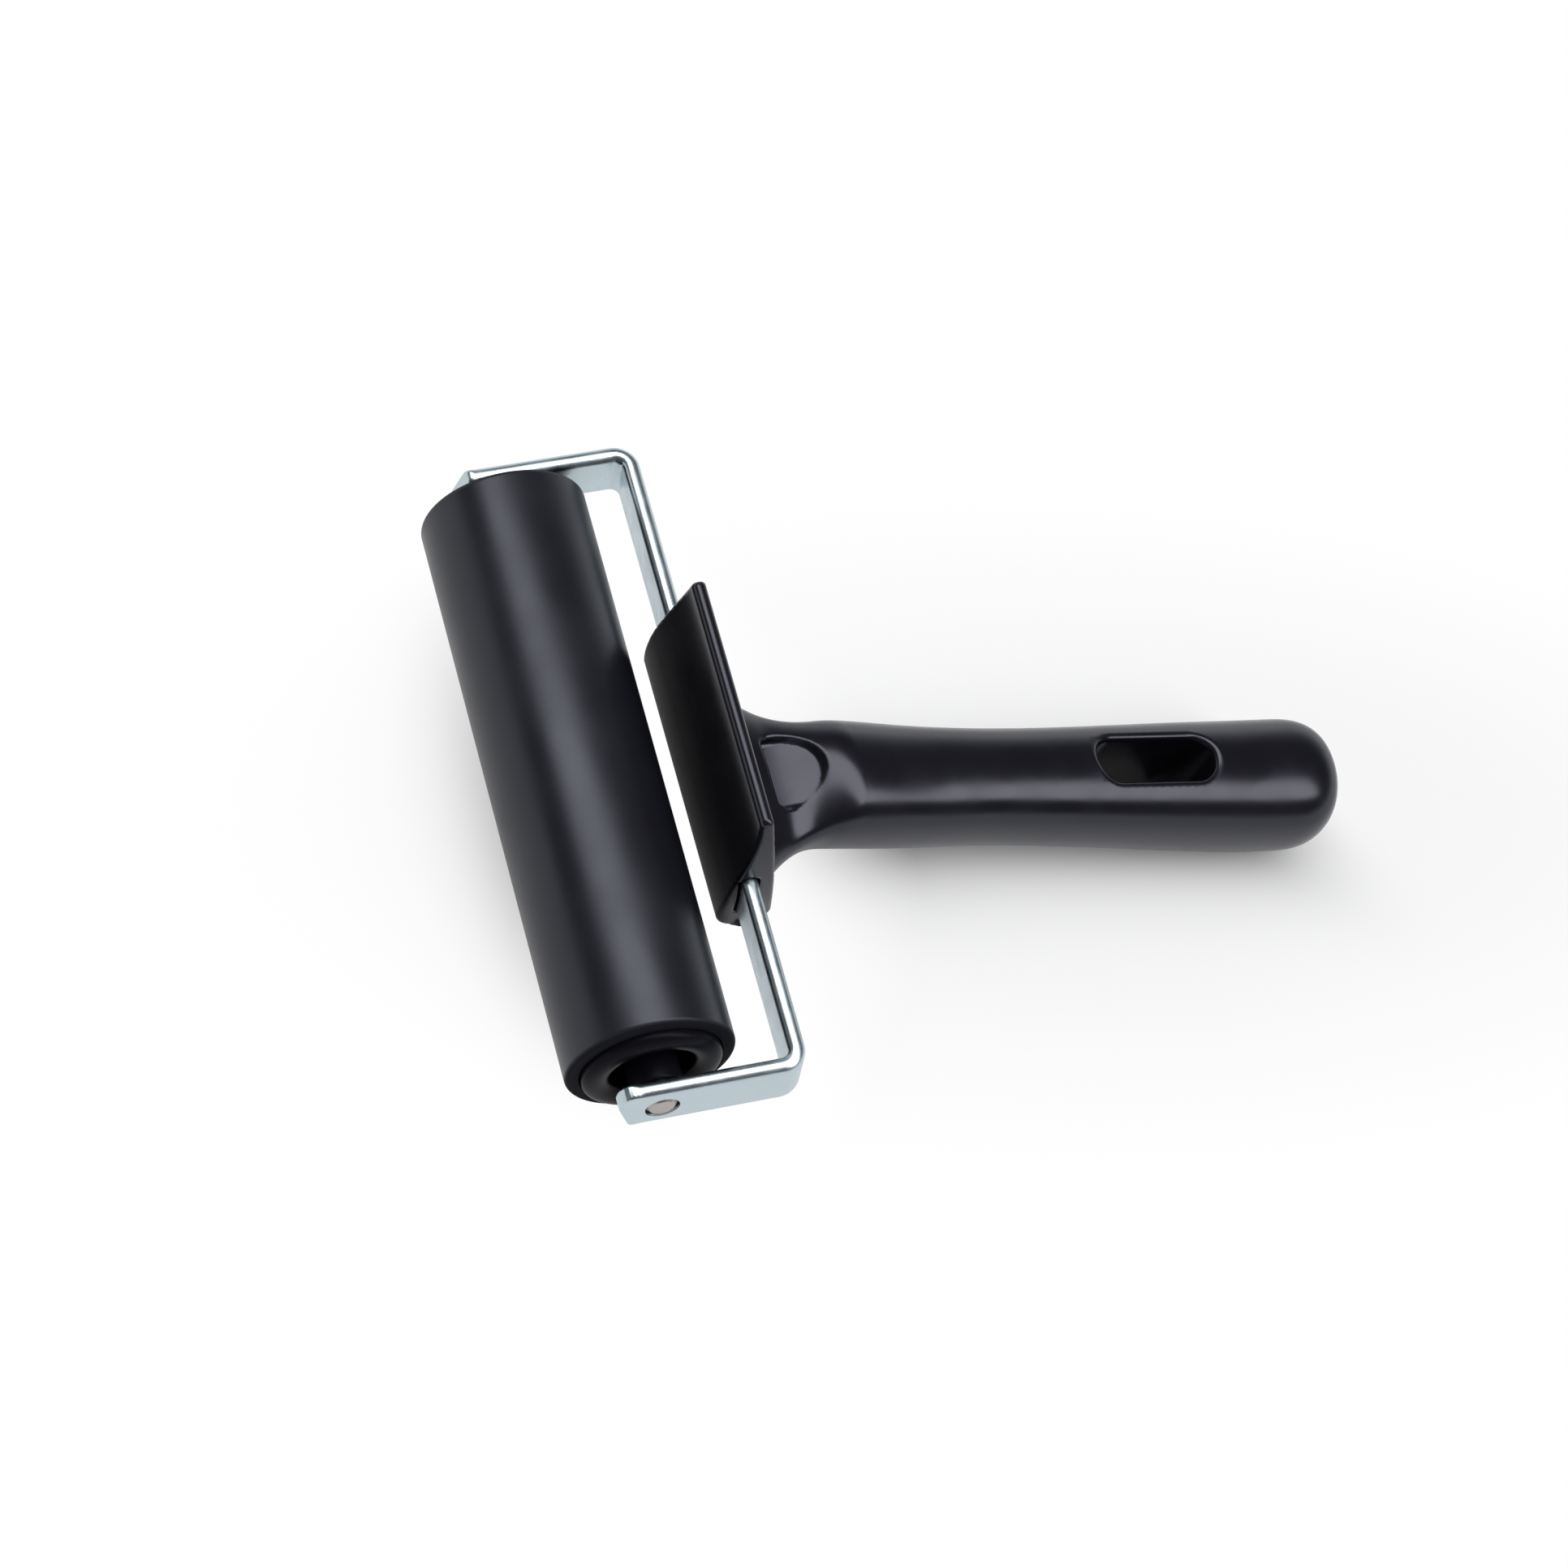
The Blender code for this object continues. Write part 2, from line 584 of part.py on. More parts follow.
def lay_on_table(tool, spindle, grip_moulding, pieces):
    """Tilt the tool onto its roller and the end of its grip, and centre it on the table."""
    points = world_points(grip_moulding)
    points = points[points[:, 1] > BAR_OUTSIDE + HEAD_BLADE]
    distance = np.hypot(points[:, 1], points[:, 2])
    tilts = -np.arcsin(ROLLER_RADIUS / distance) - np.arctan2(points[:, 2], points[:, 1])
    tilt = float(tilts.max())
    tool.rotation_euler = (tilt, 0.0, 0.0)
    spindle.rotation_euler = (math.pi / ROLLER_FACETS - tilt, 0.0, 0.0)
    corners = np.concatenate([world_points(piece) for piece in pieces])
    low = corners.min(axis=0)
    high = corners.max(axis=0)
    tool.location = (0.0, -(low[1] + high[1]) / 2, -low[2])
    print("tilt in degrees", round(math.degrees(tilt), 3))
    print("axle centre in metres", [round(value, 6) for value in tool.location])
    print("size in metres", [round(float(value), 5) for value in high - low])


def main():
    """Build the brayer."""
    clear_scene()
    parts = make_collection("rubber_brayer")
    cutters = make_collection("cutters")
    rubber = make_material("black_rubber", (0.018, 0.019, 0.022), 0.5)
    plastic = make_material("black_plastic", (0.012, 0.012, 0.013), 0.32)
    core_plastic = make_material("grey_plastic", (0.18, 0.18, 0.18), 0.5)
    zinc = make_material("zinc_plate", (0.72, 0.77, 0.79), 0.3, 1.0)
    steel = make_material("bare_steel", (0.56, 0.53, 0.5), 0.35, 1.0)
    tool = make_empty("tool", parts)
    spindle = make_empty("spindle", parts, tool)
    rubber_sleeve(parts, spindle, rubber)
    core_tube(parts, spindle, core_plastic)
    end_plug("end_plug_right", 1, parts, spindle, plastic)
    end_plug("end_plug_left", -1, parts, spindle, plastic)
    axle(parts, tool, steel)
    strap_frame(parts, cutters, tool, zinc)
    moulding = handle(parts, cutters, tool, plastic)
    pieces = [piece for piece in parts.objects if piece.type == "MESH"]
    lay_on_table(tool, spindle, moulding, pieces)


main()
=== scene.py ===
# %% [markdown]
# # A rubber brayer
# A brayer rolls ink over a printing block. A rubber sleeve turns on an axle, the axle sits in a
# bent steel strap, and the strap is moulded into a black plastic handle. The CAD model is loaded
# first and stays fixed: every surface below is built round it, in metres.

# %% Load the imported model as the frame
import json
import math

import bmesh
import bpy
import numpy as np
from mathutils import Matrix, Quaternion, Vector


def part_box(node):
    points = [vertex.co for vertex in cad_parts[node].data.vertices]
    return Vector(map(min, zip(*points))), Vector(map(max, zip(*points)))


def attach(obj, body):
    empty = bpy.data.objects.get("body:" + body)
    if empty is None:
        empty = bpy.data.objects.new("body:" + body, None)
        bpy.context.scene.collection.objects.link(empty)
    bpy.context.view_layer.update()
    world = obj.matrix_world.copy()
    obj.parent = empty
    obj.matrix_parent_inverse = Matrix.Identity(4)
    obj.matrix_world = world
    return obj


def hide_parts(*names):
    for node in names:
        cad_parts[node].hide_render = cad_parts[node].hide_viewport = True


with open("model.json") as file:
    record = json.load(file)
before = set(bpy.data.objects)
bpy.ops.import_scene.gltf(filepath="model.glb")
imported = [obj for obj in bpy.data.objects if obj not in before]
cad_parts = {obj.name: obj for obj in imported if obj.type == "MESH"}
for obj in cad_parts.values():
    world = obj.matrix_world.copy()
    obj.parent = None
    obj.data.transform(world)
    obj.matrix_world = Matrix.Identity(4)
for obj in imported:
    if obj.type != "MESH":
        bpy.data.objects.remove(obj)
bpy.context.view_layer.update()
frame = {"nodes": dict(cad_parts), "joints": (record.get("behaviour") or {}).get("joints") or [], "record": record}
MM = 0.001

# %% [markdown]
# ## Where the tool lies
# The brayer lies on its roller and on the end of its grip, so its strap is tilted. The shapes are
# easiest to write in the tool's own frame: origin in the middle of the axle, X along the axle, Y
# towards the handle, Z square to the strap. The joint gives the origin, and the mount on the
# blade, which is square to the strap, gives the tilt.

# %% The tool's own frame
AXLE_CENTRE = np.array(frame["joints"][0]["pos_m"])
strap_normal = frame["record"]["mounts"][0]["axis"]
TILT = math.atan2(-strap_normal[1], strap_normal[2])
print("tilt in degrees", round(math.degrees(TILT), 2), "axle centre", AXLE_CENTRE)


def turn_about_x(points, angle):
    """Turn points by an angle about X: y' = y cos - z sin, z' = y sin + z cos."""
    x, y, z = points.T
    cosine, sine = math.cos(angle), math.sin(angle)
    return np.stack([x, y * cosine - z * sine, y * sine + z * cosine], axis=1)


def from_tool(points_mm):
    """Carry points from the tool's frame, in millimetres, to where the tool lies, in metres."""
    return turn_about_x(points_mm * MM, TILT) + AXLE_CENTRE


# %% Putting arrays into meshes
WELD_DISTANCE = 1e-7
SMALLEST_EDGE = 1e-8


def closed_mesh(name, points, faces):
    """Make a mesh from arrays, weld its poles and point its faces out."""
    mesh = bpy.data.meshes.new(name)
    mesh.from_pydata(points, [], faces.tolist())
    welded = bmesh.new()
    welded.from_mesh(mesh)
    bmesh.ops.remove_doubles(welded, verts=welded.verts, dist=WELD_DISTANCE)
    bmesh.ops.dissolve_degenerate(welded, edges=welded.edges, dist=SMALLEST_EDGE)
    bmesh.ops.recalc_face_normals(welded, faces=welded.faces)
    welded.to_mesh(mesh)
    welded.free()
    return mesh


def add_to_scene(name, data):
    """Put a mesh, a light or a camera into the scene as an object at the origin."""
    thing = bpy.data.objects.new(name, data)
    bpy.context.scene.collection.objects.link(thing)
    return thing


def make_piece(name, points, faces, body, node, sharp_angle=35):
    """Make a closed piece from arrays and let it ride on a body in place of its CAD node."""
    mesh = closed_mesh(name, points, faces)
    mesh.shade_smooth()
    mesh.set_sharp_from_angle(angle=math.radians(sharp_angle))
    piece = add_to_scene(name, mesh)
    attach(piece, body)
    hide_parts(node)
    print(name, len(mesh.vertices), "points", len(mesh.polygons), "faces")
    return piece


def grid_faces(rows, columns, close_rows, close_columns):
    """Faces between the neighbours of a grid of points, joined up at the ends that close."""
    row = np.arange(rows if close_rows else rows - 1)[:, None]
    column = np.arange(columns if close_columns else columns - 1)[None, :]
    next_row, next_column = (row + 1) % rows, (column + 1) % columns
    corners = [row * columns + column, row * columns + next_column,
               next_row * columns + next_column, next_row * columns + column]
    return np.stack(np.broadcast_arrays(*corners), axis=-1).reshape(-1, 4)


# %% [markdown]
# ## Turned pieces
# The sleeve, the plugs and the axle are all round, as if cut on a lathe. A lathe's cut is a
# profile: radius against place along the axle. A Screw modifier could spin it, but as a grid the
# formula is plain: one parameter runs along the profile and the other runs round the axle.

# %% Profiles with rounded corners
ARC_POINTS = 9
TURN_POINTS = 224


def rounded(corners):
    """Outline through (x, y, radius) corners, each replaced by an arc that touches both its sides."""
    outline = []
    places = np.array([corner[:2] for corner in corners], float)
    for i, (x, y, radius) in enumerate(corners):
        before = places[i - 1] - places[i]
        after = places[(i + 1) % len(corners)] - places[i]
        before, after = before / np.linalg.norm(before), after / np.linalg.norm(after)
        half = math.acos(np.clip(before @ after, -1, 1)) / 2
        middle = (before + after) / np.linalg.norm(before + after)
        centre = places[i] + middle * radius / math.sin(half)
        swing = np.linspace(half - math.pi / 2, math.pi / 2 - half, ARC_POINTS)[:, None]
        side = (after - before) / np.linalg.norm(after - before)
        arc = centre + radius * (side * np.sin(swing) - middle * np.cos(swing))
        outline.append(arc if radius > 0 else places[i:i + 1])
    return np.concatenate(outline)


def lathe(profile_mm):
    """Turn (radius, place) points round the axle: y = radius cos v, z = radius sin v, x = place."""
    radius, place = profile_mm.T
    angle = np.linspace(0, 2 * math.pi, TURN_POINTS, endpoint=False)
    x = np.broadcast_to(place[:, None], (len(place), TURN_POINTS))
    y, z = np.outer(radius, np.cos(angle)), np.outer(radius, np.sin(angle))
    points = np.stack([x, y, z], axis=-1).reshape(-1, 3)
    return points * MM + AXLE_CENTRE


# %% [markdown]
# ## Rubber sleeve
# The sleeve is a soft rubber tube with ground sides and rounded rims. Its length and radius come
# from its CAD node, so it fits whatever size that node has. In the photograph it sits a little
# towards the far end of the roller, so it is shifted along X. Its radius is a hair less than in the CAD.

# %% Rubber sleeve
SLEEVE_WALL = 2.2
SLEEVE_RIM = 0.9
SLEEVE_BORE_RIM = 0.12
SLEEVE_SHIFT = -0.45
SHY = 0.01
sleeve_low, sleeve_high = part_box("rubber_sleeve")
half_roller = (sleeve_high.x - sleeve_low.x) / 2 / MM
roller_radius = (sleeve_high.z - sleeve_low.z) / 2 / MM - SHY
sleeve_bore = roller_radius + SHY - SLEEVE_WALL
sleeve_profile = rounded([
    (sleeve_bore, SLEEVE_SHIFT - half_roller, SLEEVE_BORE_RIM),
    (roller_radius, SLEEVE_SHIFT - half_roller, SLEEVE_RIM),
    (roller_radius, SLEEVE_SHIFT + half_roller, SLEEVE_RIM),
    (sleeve_bore, SLEEVE_SHIFT + half_roller, SLEEVE_BORE_RIM),
])
sleeve_faces = grid_faces(len(sleeve_profile), TURN_POINTS, True, True)
rubber_sleeve = make_piece(
    "rubber_covering", lathe(sleeve_profile), sleeve_faces, "roller", "rubber_sleeve"
)

# %% [markdown]
# ## End plugs
# Each end of the roller is closed by a moulded plug: a rolled lip against the rubber, a dish, and
# a hub in the middle that runs on the axle and keeps the strap away. The left plug is the right
# one's mirror image, so only the sign of its places differs.

# %% End plugs
PRESS_GAP = 0.15
CORE_WALL = 2.0
PLUG_FLANGE = 2.0
LIP_HEIGHT = 1.4
LIP_WIDTH = 4.4
DISH_DEPTH = 4.6
PLUG_WALL = 1.8
SPIGOT_LENGTH = 12.0
HUB_RADIUS = 4.2
HUB_BORE = 3.08
HUB_REACH = 3.95
HUB_MOUTH_ROUNDING, HUB_RIM_ROUNDING, HUB_FOOT_ROUNDING = 0.25, 0.5, 0.2
DISH_INNER_ROUNDING, DISH_OUTER_ROUNDING = 0.6, 0.7
FLANGE_ROUNDING, SPIGOT_ROUNDING, BACK_ROUNDING = 0.15, 0.3, 0.5
LIP_POINTS = 25
plug_radius = sleeve_bore - PRESS_GAP
spigot_radius = plug_radius - CORE_WALL - PRESS_GAP
lip_middle = plug_radius - LIP_WIDTH / 2
lip_turn = np.linspace(math.pi, 0, LIP_POINTS)[1:-1]
rolled_lip = np.stack(
    [lip_middle + LIP_WIDTH / 2 * np.cos(lip_turn), LIP_HEIGHT * np.sin(lip_turn)], axis=1
)
inside_lip = rounded([
    (HUB_BORE, -SPIGOT_LENGTH, 0.0),
    (HUB_BORE, HUB_REACH, HUB_MOUTH_ROUNDING),
    (HUB_RADIUS, HUB_REACH, HUB_RIM_ROUNDING),
    (HUB_RADIUS, -DISH_DEPTH, DISH_INNER_ROUNDING),
    (plug_radius - LIP_WIDTH, -DISH_DEPTH, DISH_OUTER_ROUNDING),
    (plug_radius - LIP_WIDTH, 0.0, 0.0),
])
outside_lip = rounded([
    (plug_radius, 0.0, 0.0),
    (plug_radius, -PLUG_FLANGE, FLANGE_ROUNDING),
    (spigot_radius, -PLUG_FLANGE, FLANGE_ROUNDING),
    (spigot_radius, -SPIGOT_LENGTH, SPIGOT_ROUNDING),
    (spigot_radius - PLUG_WALL, -SPIGOT_LENGTH, SPIGOT_ROUNDING),
    (spigot_radius - PLUG_WALL, -DISH_DEPTH - PLUG_WALL, BACK_ROUNDING),
    (HUB_RADIUS, -DISH_DEPTH - PLUG_WALL, BACK_ROUNDING),
    (HUB_RADIUS, -SPIGOT_LENGTH, HUB_FOOT_ROUNDING),
])
plug_profile = np.concatenate([inside_lip, rolled_lip, outside_lip])
plug_faces = grid_faces(len(plug_profile), TURN_POINTS, True, True)
plugs = []
for end, side in (("right", 1), ("left", -1)):
    placed = plug_profile * (1, side) + (0, side * half_roller)
    plugs.append(make_piece(
        f"plug_{end}", lathe(placed), plug_faces, "roller", f"end_plug_{end}"
    ))

# %% [markdown]
# ## Axle
# The axle is a plain steel rod with shouldered ends that sit in the strap's holes. Its end faces
# show in the photograph, so they get a small turned chamfer.

# %% Axle
axle_low, axle_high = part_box("axle")
half_axle = (axle_high.x - axle_low.x) / 2 / MM
AXLE_RADIUS = 3.0
AXLE_END_RADIUS = 2.5
AXLE_SHOULDER = 54.125
AXLE_CHAMFER = 0.55
SHOULDER_CHAMFER = 0.1
axle_corners = [
    (0.0, half_axle),
    (AXLE_END_RADIUS - AXLE_CHAMFER, half_axle),
    (AXLE_END_RADIUS, half_axle - AXLE_CHAMFER),
    (AXLE_END_RADIUS, AXLE_SHOULDER),
    (AXLE_RADIUS - SHOULDER_CHAMFER, AXLE_SHOULDER),
    (AXLE_RADIUS, AXLE_SHOULDER - SHOULDER_CHAMFER),
]
axle_corners += [(radius, -place) for radius, place in reversed(axle_corners)]
axle_profile = np.array(axle_corners)
axle_faces = grid_faces(len(axle_profile), TURN_POINTS, False, True)
axle = make_piece("axle_rod", lathe(axle_profile), axle_faces, "frame", "axle")

# %% [markdown]
# ## Steel strap
# The strap is flat bar with rolled edges, sheared off on one slant and bent to a U, so the right
# end is longer at its top and the left end at its bottom. The ends, or ears, are flattened and
# have squarer edges. It is one profile carried along one path: a rounded rectangle whose upper and
# lower limits change near the ends. Two holes for the axle are then cut with a Boolean.

# %% The strap's path and limits
STRAP_THICKNESS = 2.7
STRAP_WIDTH = 10.0
STRAP_EDGE = 1.25
BEND_INSIDE = 1.5
ARM_INSIDE = 54.3
AXLE_TO_BAR = 20.3
EAR_ROOT = -3.0
EAR_TIP = -8.1
EAR_SLANT = 3.3
EAR_TOP_ROUNDING = 3.0
EAR_BOTTOM_ROUNDING = 1.5
EAR_EDGE = 0.5
EAR_COINING = 0.06
EAR_BLEND = 2.4
half_strap = STRAP_THICKNESS / 2
bend_radius = BEND_INSIDE + half_strap
arm_line = ARM_INSIDE + half_strap
bar_line = AXLE_TO_BAR + half_strap


def smooth_step(value):
    """Go from 0 to 1 with level ends: 3 t squared less 2 t cubed."""
    value = np.clip(value, 0.0, 1.0)
    return value * value * (3 - 2 * value)


def ear_share(y):
    """How far the arm has turned from rolled strap into flattened ear: 0 to 1 over the blend."""
    return smooth_step((EAR_ROOT - y) / EAR_BLEND)


EAR_HALF = STRAP_WIDTH / 2
ear_outline = rounded([
    (0.0, EAR_HALF, 0.0),
    (EAR_TIP, EAR_HALF, EAR_TOP_ROUNDING),
    (EAR_TIP + EAR_SLANT, -EAR_HALF, EAR_BOTTOM_ROUNDING),
    (0.0, -EAR_HALF, 0.0),
])
ear_nose = int(ear_outline[:, 0].argmin())
nose_y = ear_outline[ear_nose, 0]
print("ear reaches", round(nose_y, 2), "mm past the axle")


def ear_limits(x, y):
    """Upper and lower edge of an arm, read off the ear's outline, which is turned over on the left."""
    above = ear_outline[ear_nose::-1]
    below = ear_outline[ear_nose:]
    upper = np.interp(y, above[:, 0], above[:, 1])
    lower = np.interp(y, below[:, 0], below[:, 1])
    return np.where(x > 0, upper, -lower), np.where(x > 0, lower, -upper)


EAR_STEPS, ARM_STEPS, BEND_STEPS, BAR_STEPS = 60, 14, 25, 24
NOSE_START, NOSE_CROWDING = 0.012, 1.8
ARM_START = EAR_ROOT + 2


def strap_path():
    """Middle line of the strap as x, y and the direction outwards, from one ear to the other."""
    ear = nose_y + (ARM_START - nose_y) * np.linspace(NOSE_START, 1, EAR_STEPS) ** NOSE_CROWDING
    arm = np.linspace(ARM_START, bar_line - bend_radius, ARM_STEPS)[1:]
    turn = np.linspace(0, math.pi / 2, BEND_STEPS)[1:]
    bar = np.linspace(0, 1, BAR_STEPS)[1:]
    corner_x, corner_y = arm_line - bend_radius, bar_line - bend_radius
    straight = len(ear) + len(arm)
    arm_x, bar_y = np.full(straight, arm_line), np.full(len(bar), bar_line)
    x = np.concatenate([arm_x, corner_x + bend_radius * np.cos(turn), corner_x * (1 - bar)])
    y = np.concatenate([ear, arm, corner_y + bend_radius * np.sin(turn), bar_y])
    out = np.concatenate([np.zeros(straight), turn, np.full(len(bar), math.pi / 2)])
    mirror = slice(-2, None, -1)
    x, y = np.concatenate([x, -x[mirror]]), np.concatenate([y, y[mirror]])
    return x, y, np.concatenate([out, math.pi - out[mirror]])


# %% The strap's profile carried along the path
EDGE_POINTS = 8
LARGEST_EDGE = 0.98


def strap_points():
    """Rounded rectangle between the limits, square to the path: middle + outwards * depth, height."""
    x, y, out = strap_path()
    upper, lower = ear_limits(x, y)
    half = (upper - lower) / 2
    tip = np.clip((y - nose_y) / EAR_EDGE, 0, 1)
    rolled = EAR_EDGE * (1 - np.sqrt(1 - (1 - tip) ** 2))
    depth = half_strap - EAR_COINING * ear_share(y) - rolled
    edge = STRAP_EDGE + (EAR_EDGE - STRAP_EDGE) * ear_share(y)
    edge = np.minimum(edge, LARGEST_EDGE * np.minimum(half, depth))
    quarter = np.linspace(0, math.pi / 2, EDGE_POINTS)
    angle = np.concatenate([quarter + k * math.pi / 2 for k in range(4)])
    corner = quarter.mean() + np.repeat(np.arange(4), EDGE_POINTS) * math.pi / 2
    across, along = np.sign(np.cos(corner)), np.sign(np.sin(corner))
    offset = across * (depth - edge)[:, None] + np.cos(angle) * edge[:, None]
    rise = along * (half - edge)[:, None] + np.sin(angle) * edge[:, None]
    height = ((upper + lower) / 2)[:, None] + rise
    px = x[:, None] + np.cos(out)[:, None] * offset
    py = y[:, None] + np.sin(out)[:, None] * offset
    return np.stack([px, py, height], axis=-1)


# %% Closing the strap and drilling it
HOLE_RADIUS = 2.75
DRILL_PAST = 1.0
STRAP_SHARP_ANGLE, DRILLED_SHARP_ANGLE = 50, 40
rings = strap_points()
ends = [np.broadcast_to(rings[i].mean(axis=0), rings[i].shape)[None] for i in (0, -1)]
rings = np.concatenate([ends[0], rings, ends[1]])
strap_faces = grid_faces(rings.shape[0], rings.shape[1], False, True)
strap_skin = from_tool(rings.reshape(-1, 3))
strap = make_piece(
    "steel_strap", strap_skin, strap_faces, "frame", "strap_frame", STRAP_SHARP_ANGLE
)


def drill(piece, profile_mm):
    """Cut a turned shape out of a piece for good."""
    drill_faces = grid_faces(len(profile_mm), TURN_POINTS, False, True)
    tool = add_to_scene("drill", closed_mesh("drill", lathe(profile_mm), drill_faces))
    cut = piece.modifiers.new("hole", "BOOLEAN")
    cut.object = tool
    cut.solver = "EXACT"
    bpy.context.view_layer.update()
    shaped = piece.evaluated_get(bpy.context.evaluated_depsgraph_get())
    cut_mesh = bpy.data.meshes.new_from_object(shaped)
    piece.modifiers.clear()
    piece.data = cut_mesh
    bpy.data.objects.remove(tool, do_unlink=True)


for side in (1, -1):
    inner = side * (ARM_INSIDE - DRILL_PAST)
    outer = side * (ARM_INSIDE + STRAP_THICKNESS + DRILL_PAST)
    drill(strap, np.array([(0, inner), (HOLE_RADIUS, inner), (HOLE_RADIUS, outer), (0, outer)]))
strap.data.set_sharp_from_angle(angle=math.radians(DRILLED_SHARP_ANGLE))
print("strap drilled", len(strap.data.vertices), "points")

# %% [markdown]
# ## Handle
# The handle is one moulding, and every place where two of its forms meet is rounded. A single
# grid can't have a slot through it and a tunnel for the strap, so the handle is written as a
# distance: negative inside, zero on the surface. Forms are joined and cut with minimum and
# maximum, with a radius so that the joints come out filleted. All lengths are in millimetres.

# %% Joining distances with a radius
def round_max(a, b, radius):
    """Inside both forms, with the edge between them rounded by a circle."""
    u, v = np.maximum(a + radius, 0), np.maximum(b + radius, 0)
    return np.minimum(np.maximum(a, b), -radius) + np.hypot(u, v)


def round_min(a, b, radius):
    """Inside either form, with the corner between them filled by a circle."""
    return -round_max(-a, -b, radius)


# %% [markdown]
# The head is the cross-bar that holds the strap: a thin blade that sweeps down and forward to a
# round toe. It is the space behind its front curve, in front of its back, above its bottom, below
# its top and between its two ends.

# %% Head of the handle
HEAD_TOP = 18.6
HEAD_BOTTOM = -10.2
HEAD_BACK = 26.4
BLADE = 2.2
BLADE_LEAN = 1.7
TOE_FRONT = 17.4
TOE_RADIUS = 4.0
HEEL_RADIUS = 3.6
HEAD_EDGE = 0.7
BLADE_FRONT_EDGE = 1.15
BLADE_BACK_EDGE = 0.95
HALF_TOP = 22.0
HALF_MIDDLE = 25.0
HALF_BOTTOM = 24.0
MIDDLE_AT = 6.5
HEAD_END_ROUNDING = 3.0
toe_top = HEAD_BOTTOM + TOE_RADIUS
heel_top = HEAD_BOTTOM + HEEL_RADIUS
blade_back = HEAD_BACK - BLADE_LEAN
blade_front = blade_back - BLADE


def head(x, y, z):
    """Rounded maximum of front, back, bottom, top and end distances, each along its own slope."""
    rise = np.clip((z - toe_top) / (HEAD_TOP - toe_top), 0, 1)
    front_slope = (blade_front - TOE_FRONT) * 6 * rise * (1 - rise) / (HEAD_TOP - toe_top)
    front = TOE_FRONT + (blade_front - TOE_FRONT) * smooth_step(rise) - y
    front = front / np.sqrt(1 + front_slope**2)
    back = y - blade_back - BLADE_LEAN * np.clip((HEAD_TOP - z) / (HEAD_TOP - heel_top), 0, 1)
    front = round_max(round_max(front, HEAD_BOTTOM - z, TOE_RADIUS), z - HEAD_TOP, BLADE_FRONT_EDGE)
    back = round_max(round_max(back, HEAD_BOTTOM - z, HEEL_RADIUS), z - HEAD_TOP, BLADE_BACK_EDGE)
    body = np.maximum(front, back)
    low_slope = (HALF_MIDDLE - HALF_BOTTOM) / (MIDDLE_AT - HEAD_BOTTOM)
    high_slope = (HALF_TOP - HALF_MIDDLE) / (HEAD_TOP - MIDDLE_AT)
    lower_end = (np.abs(x) - HALF_MIDDLE - low_slope * (z - MIDDLE_AT)) / math.hypot(1, low_slope)
    upper_end = (np.abs(x) - HALF_MIDDLE - high_slope * (z - MIDDLE_AT)) / math.hypot(1, high_slope)
    return round_max(body, round_max(lower_end, upper_end, HEAD_END_ROUNDING), HEAD_EDGE)


# %% [markdown]
# The grip is a squared-off ellipse drawn along an axis that drops from the strap. Its half width,
# top and underside each follow their own line: a waist, a bulge, a dome at the end, and at the
# neck a spread, a dip for the thumb and a rising chin.

# %% Lines of the grip
GRIP_ANGLE = math.radians(19)
GRIP_END = 140.4
DOME = 10.6
WAIST_AT, WAIST_WIDTH, WAIST_DEPTH = 75.0, 19.0, 18.6
BULGE_AT, BULGE_WIDTH, BULGE_DEPTH = 130.0, 22.0, 21.5
SQUARENESS = 2.1
DOME_SQUARENESS = 3.0
BOW, BOW_LENGTH = 0.9, 20.0
NECK_OFFSET = 0.3
NECK_ROOT = HEAD_BACK * math.cos(GRIP_ANGLE) + NECK_OFFSET
NECK_LENGTH = 18.0
NECK_ROOT_WIDTH = 45.0
NECK_SWELL = 2.1
TOP_DIP = 5.0
DIP_LENGTH = 13.0
DIP_TO_NECK_END = 3.0
SAG = 1.6
CHIN_RISE = 7.4
TOP_FILLET = 3.5
neck_start, neck_end = NECK_ROOT - BLADE, NECK_ROOT + NECK_LENGTH
DIP_AT = neck_end - DIP_TO_NECK_END


def half_depth(along):
    """Half the depth of the plain grip, from the waist to the bulge."""
    swell = smooth_step((along - WAIST_AT) / (BULGE_AT - WAIST_AT))
    return (WAIST_DEPTH + swell * (BULGE_DEPTH - WAIST_DEPTH)) / 2


def half_width(along):
    """Half the width: waist, bulge, a slight swell towards the neck, and a parabola at its root."""
    swell = smooth_step((along - WAIST_AT) / (BULGE_AT - WAIST_AT))
    width = WAIST_WIDTH + swell * (BULGE_WIDTH - WAIST_WIDTH)
    width = width + NECK_SWELL * smooth_step((WAIST_AT - along) / (WAIST_AT - neck_end))
    spread = np.clip((neck_end - along) / NECK_LENGTH, 0, 1)
    return (width + (NECK_ROOT_WIDTH - width) * spread**2) / 2


def bow(along):
    """How far the middle of the grip hangs below its axis, fading out towards both ends."""
    rise = smooth_step((along - neck_end) / BOW_LENGTH)
    return BOW * rise * smooth_step((GRIP_END - along) / BOW_LENGTH)


def grip_top(along):
    """Height of the top: the grip's depth, less the thumb's dip, plus a fillet at the head."""
    dip = TOP_DIP * smooth_step((DIP_AT + DIP_LENGTH / 2 - along) / DIP_LENGTH)
    fillet = np.clip(NECK_ROOT + TOP_FILLET - along, 0, TOP_FILLET + BLADE)
    return half_depth(along) - bow(along) - dip + fillet**2 / (2 * TOP_FILLET)


def grip_bottom(along):
    """Height of the underside, which rises to the head below the neck."""
    rise = smooth_step((neck_end - along) / (neck_end - neck_start))
    return CHIN_RISE * rise - half_depth(along) - bow(along)


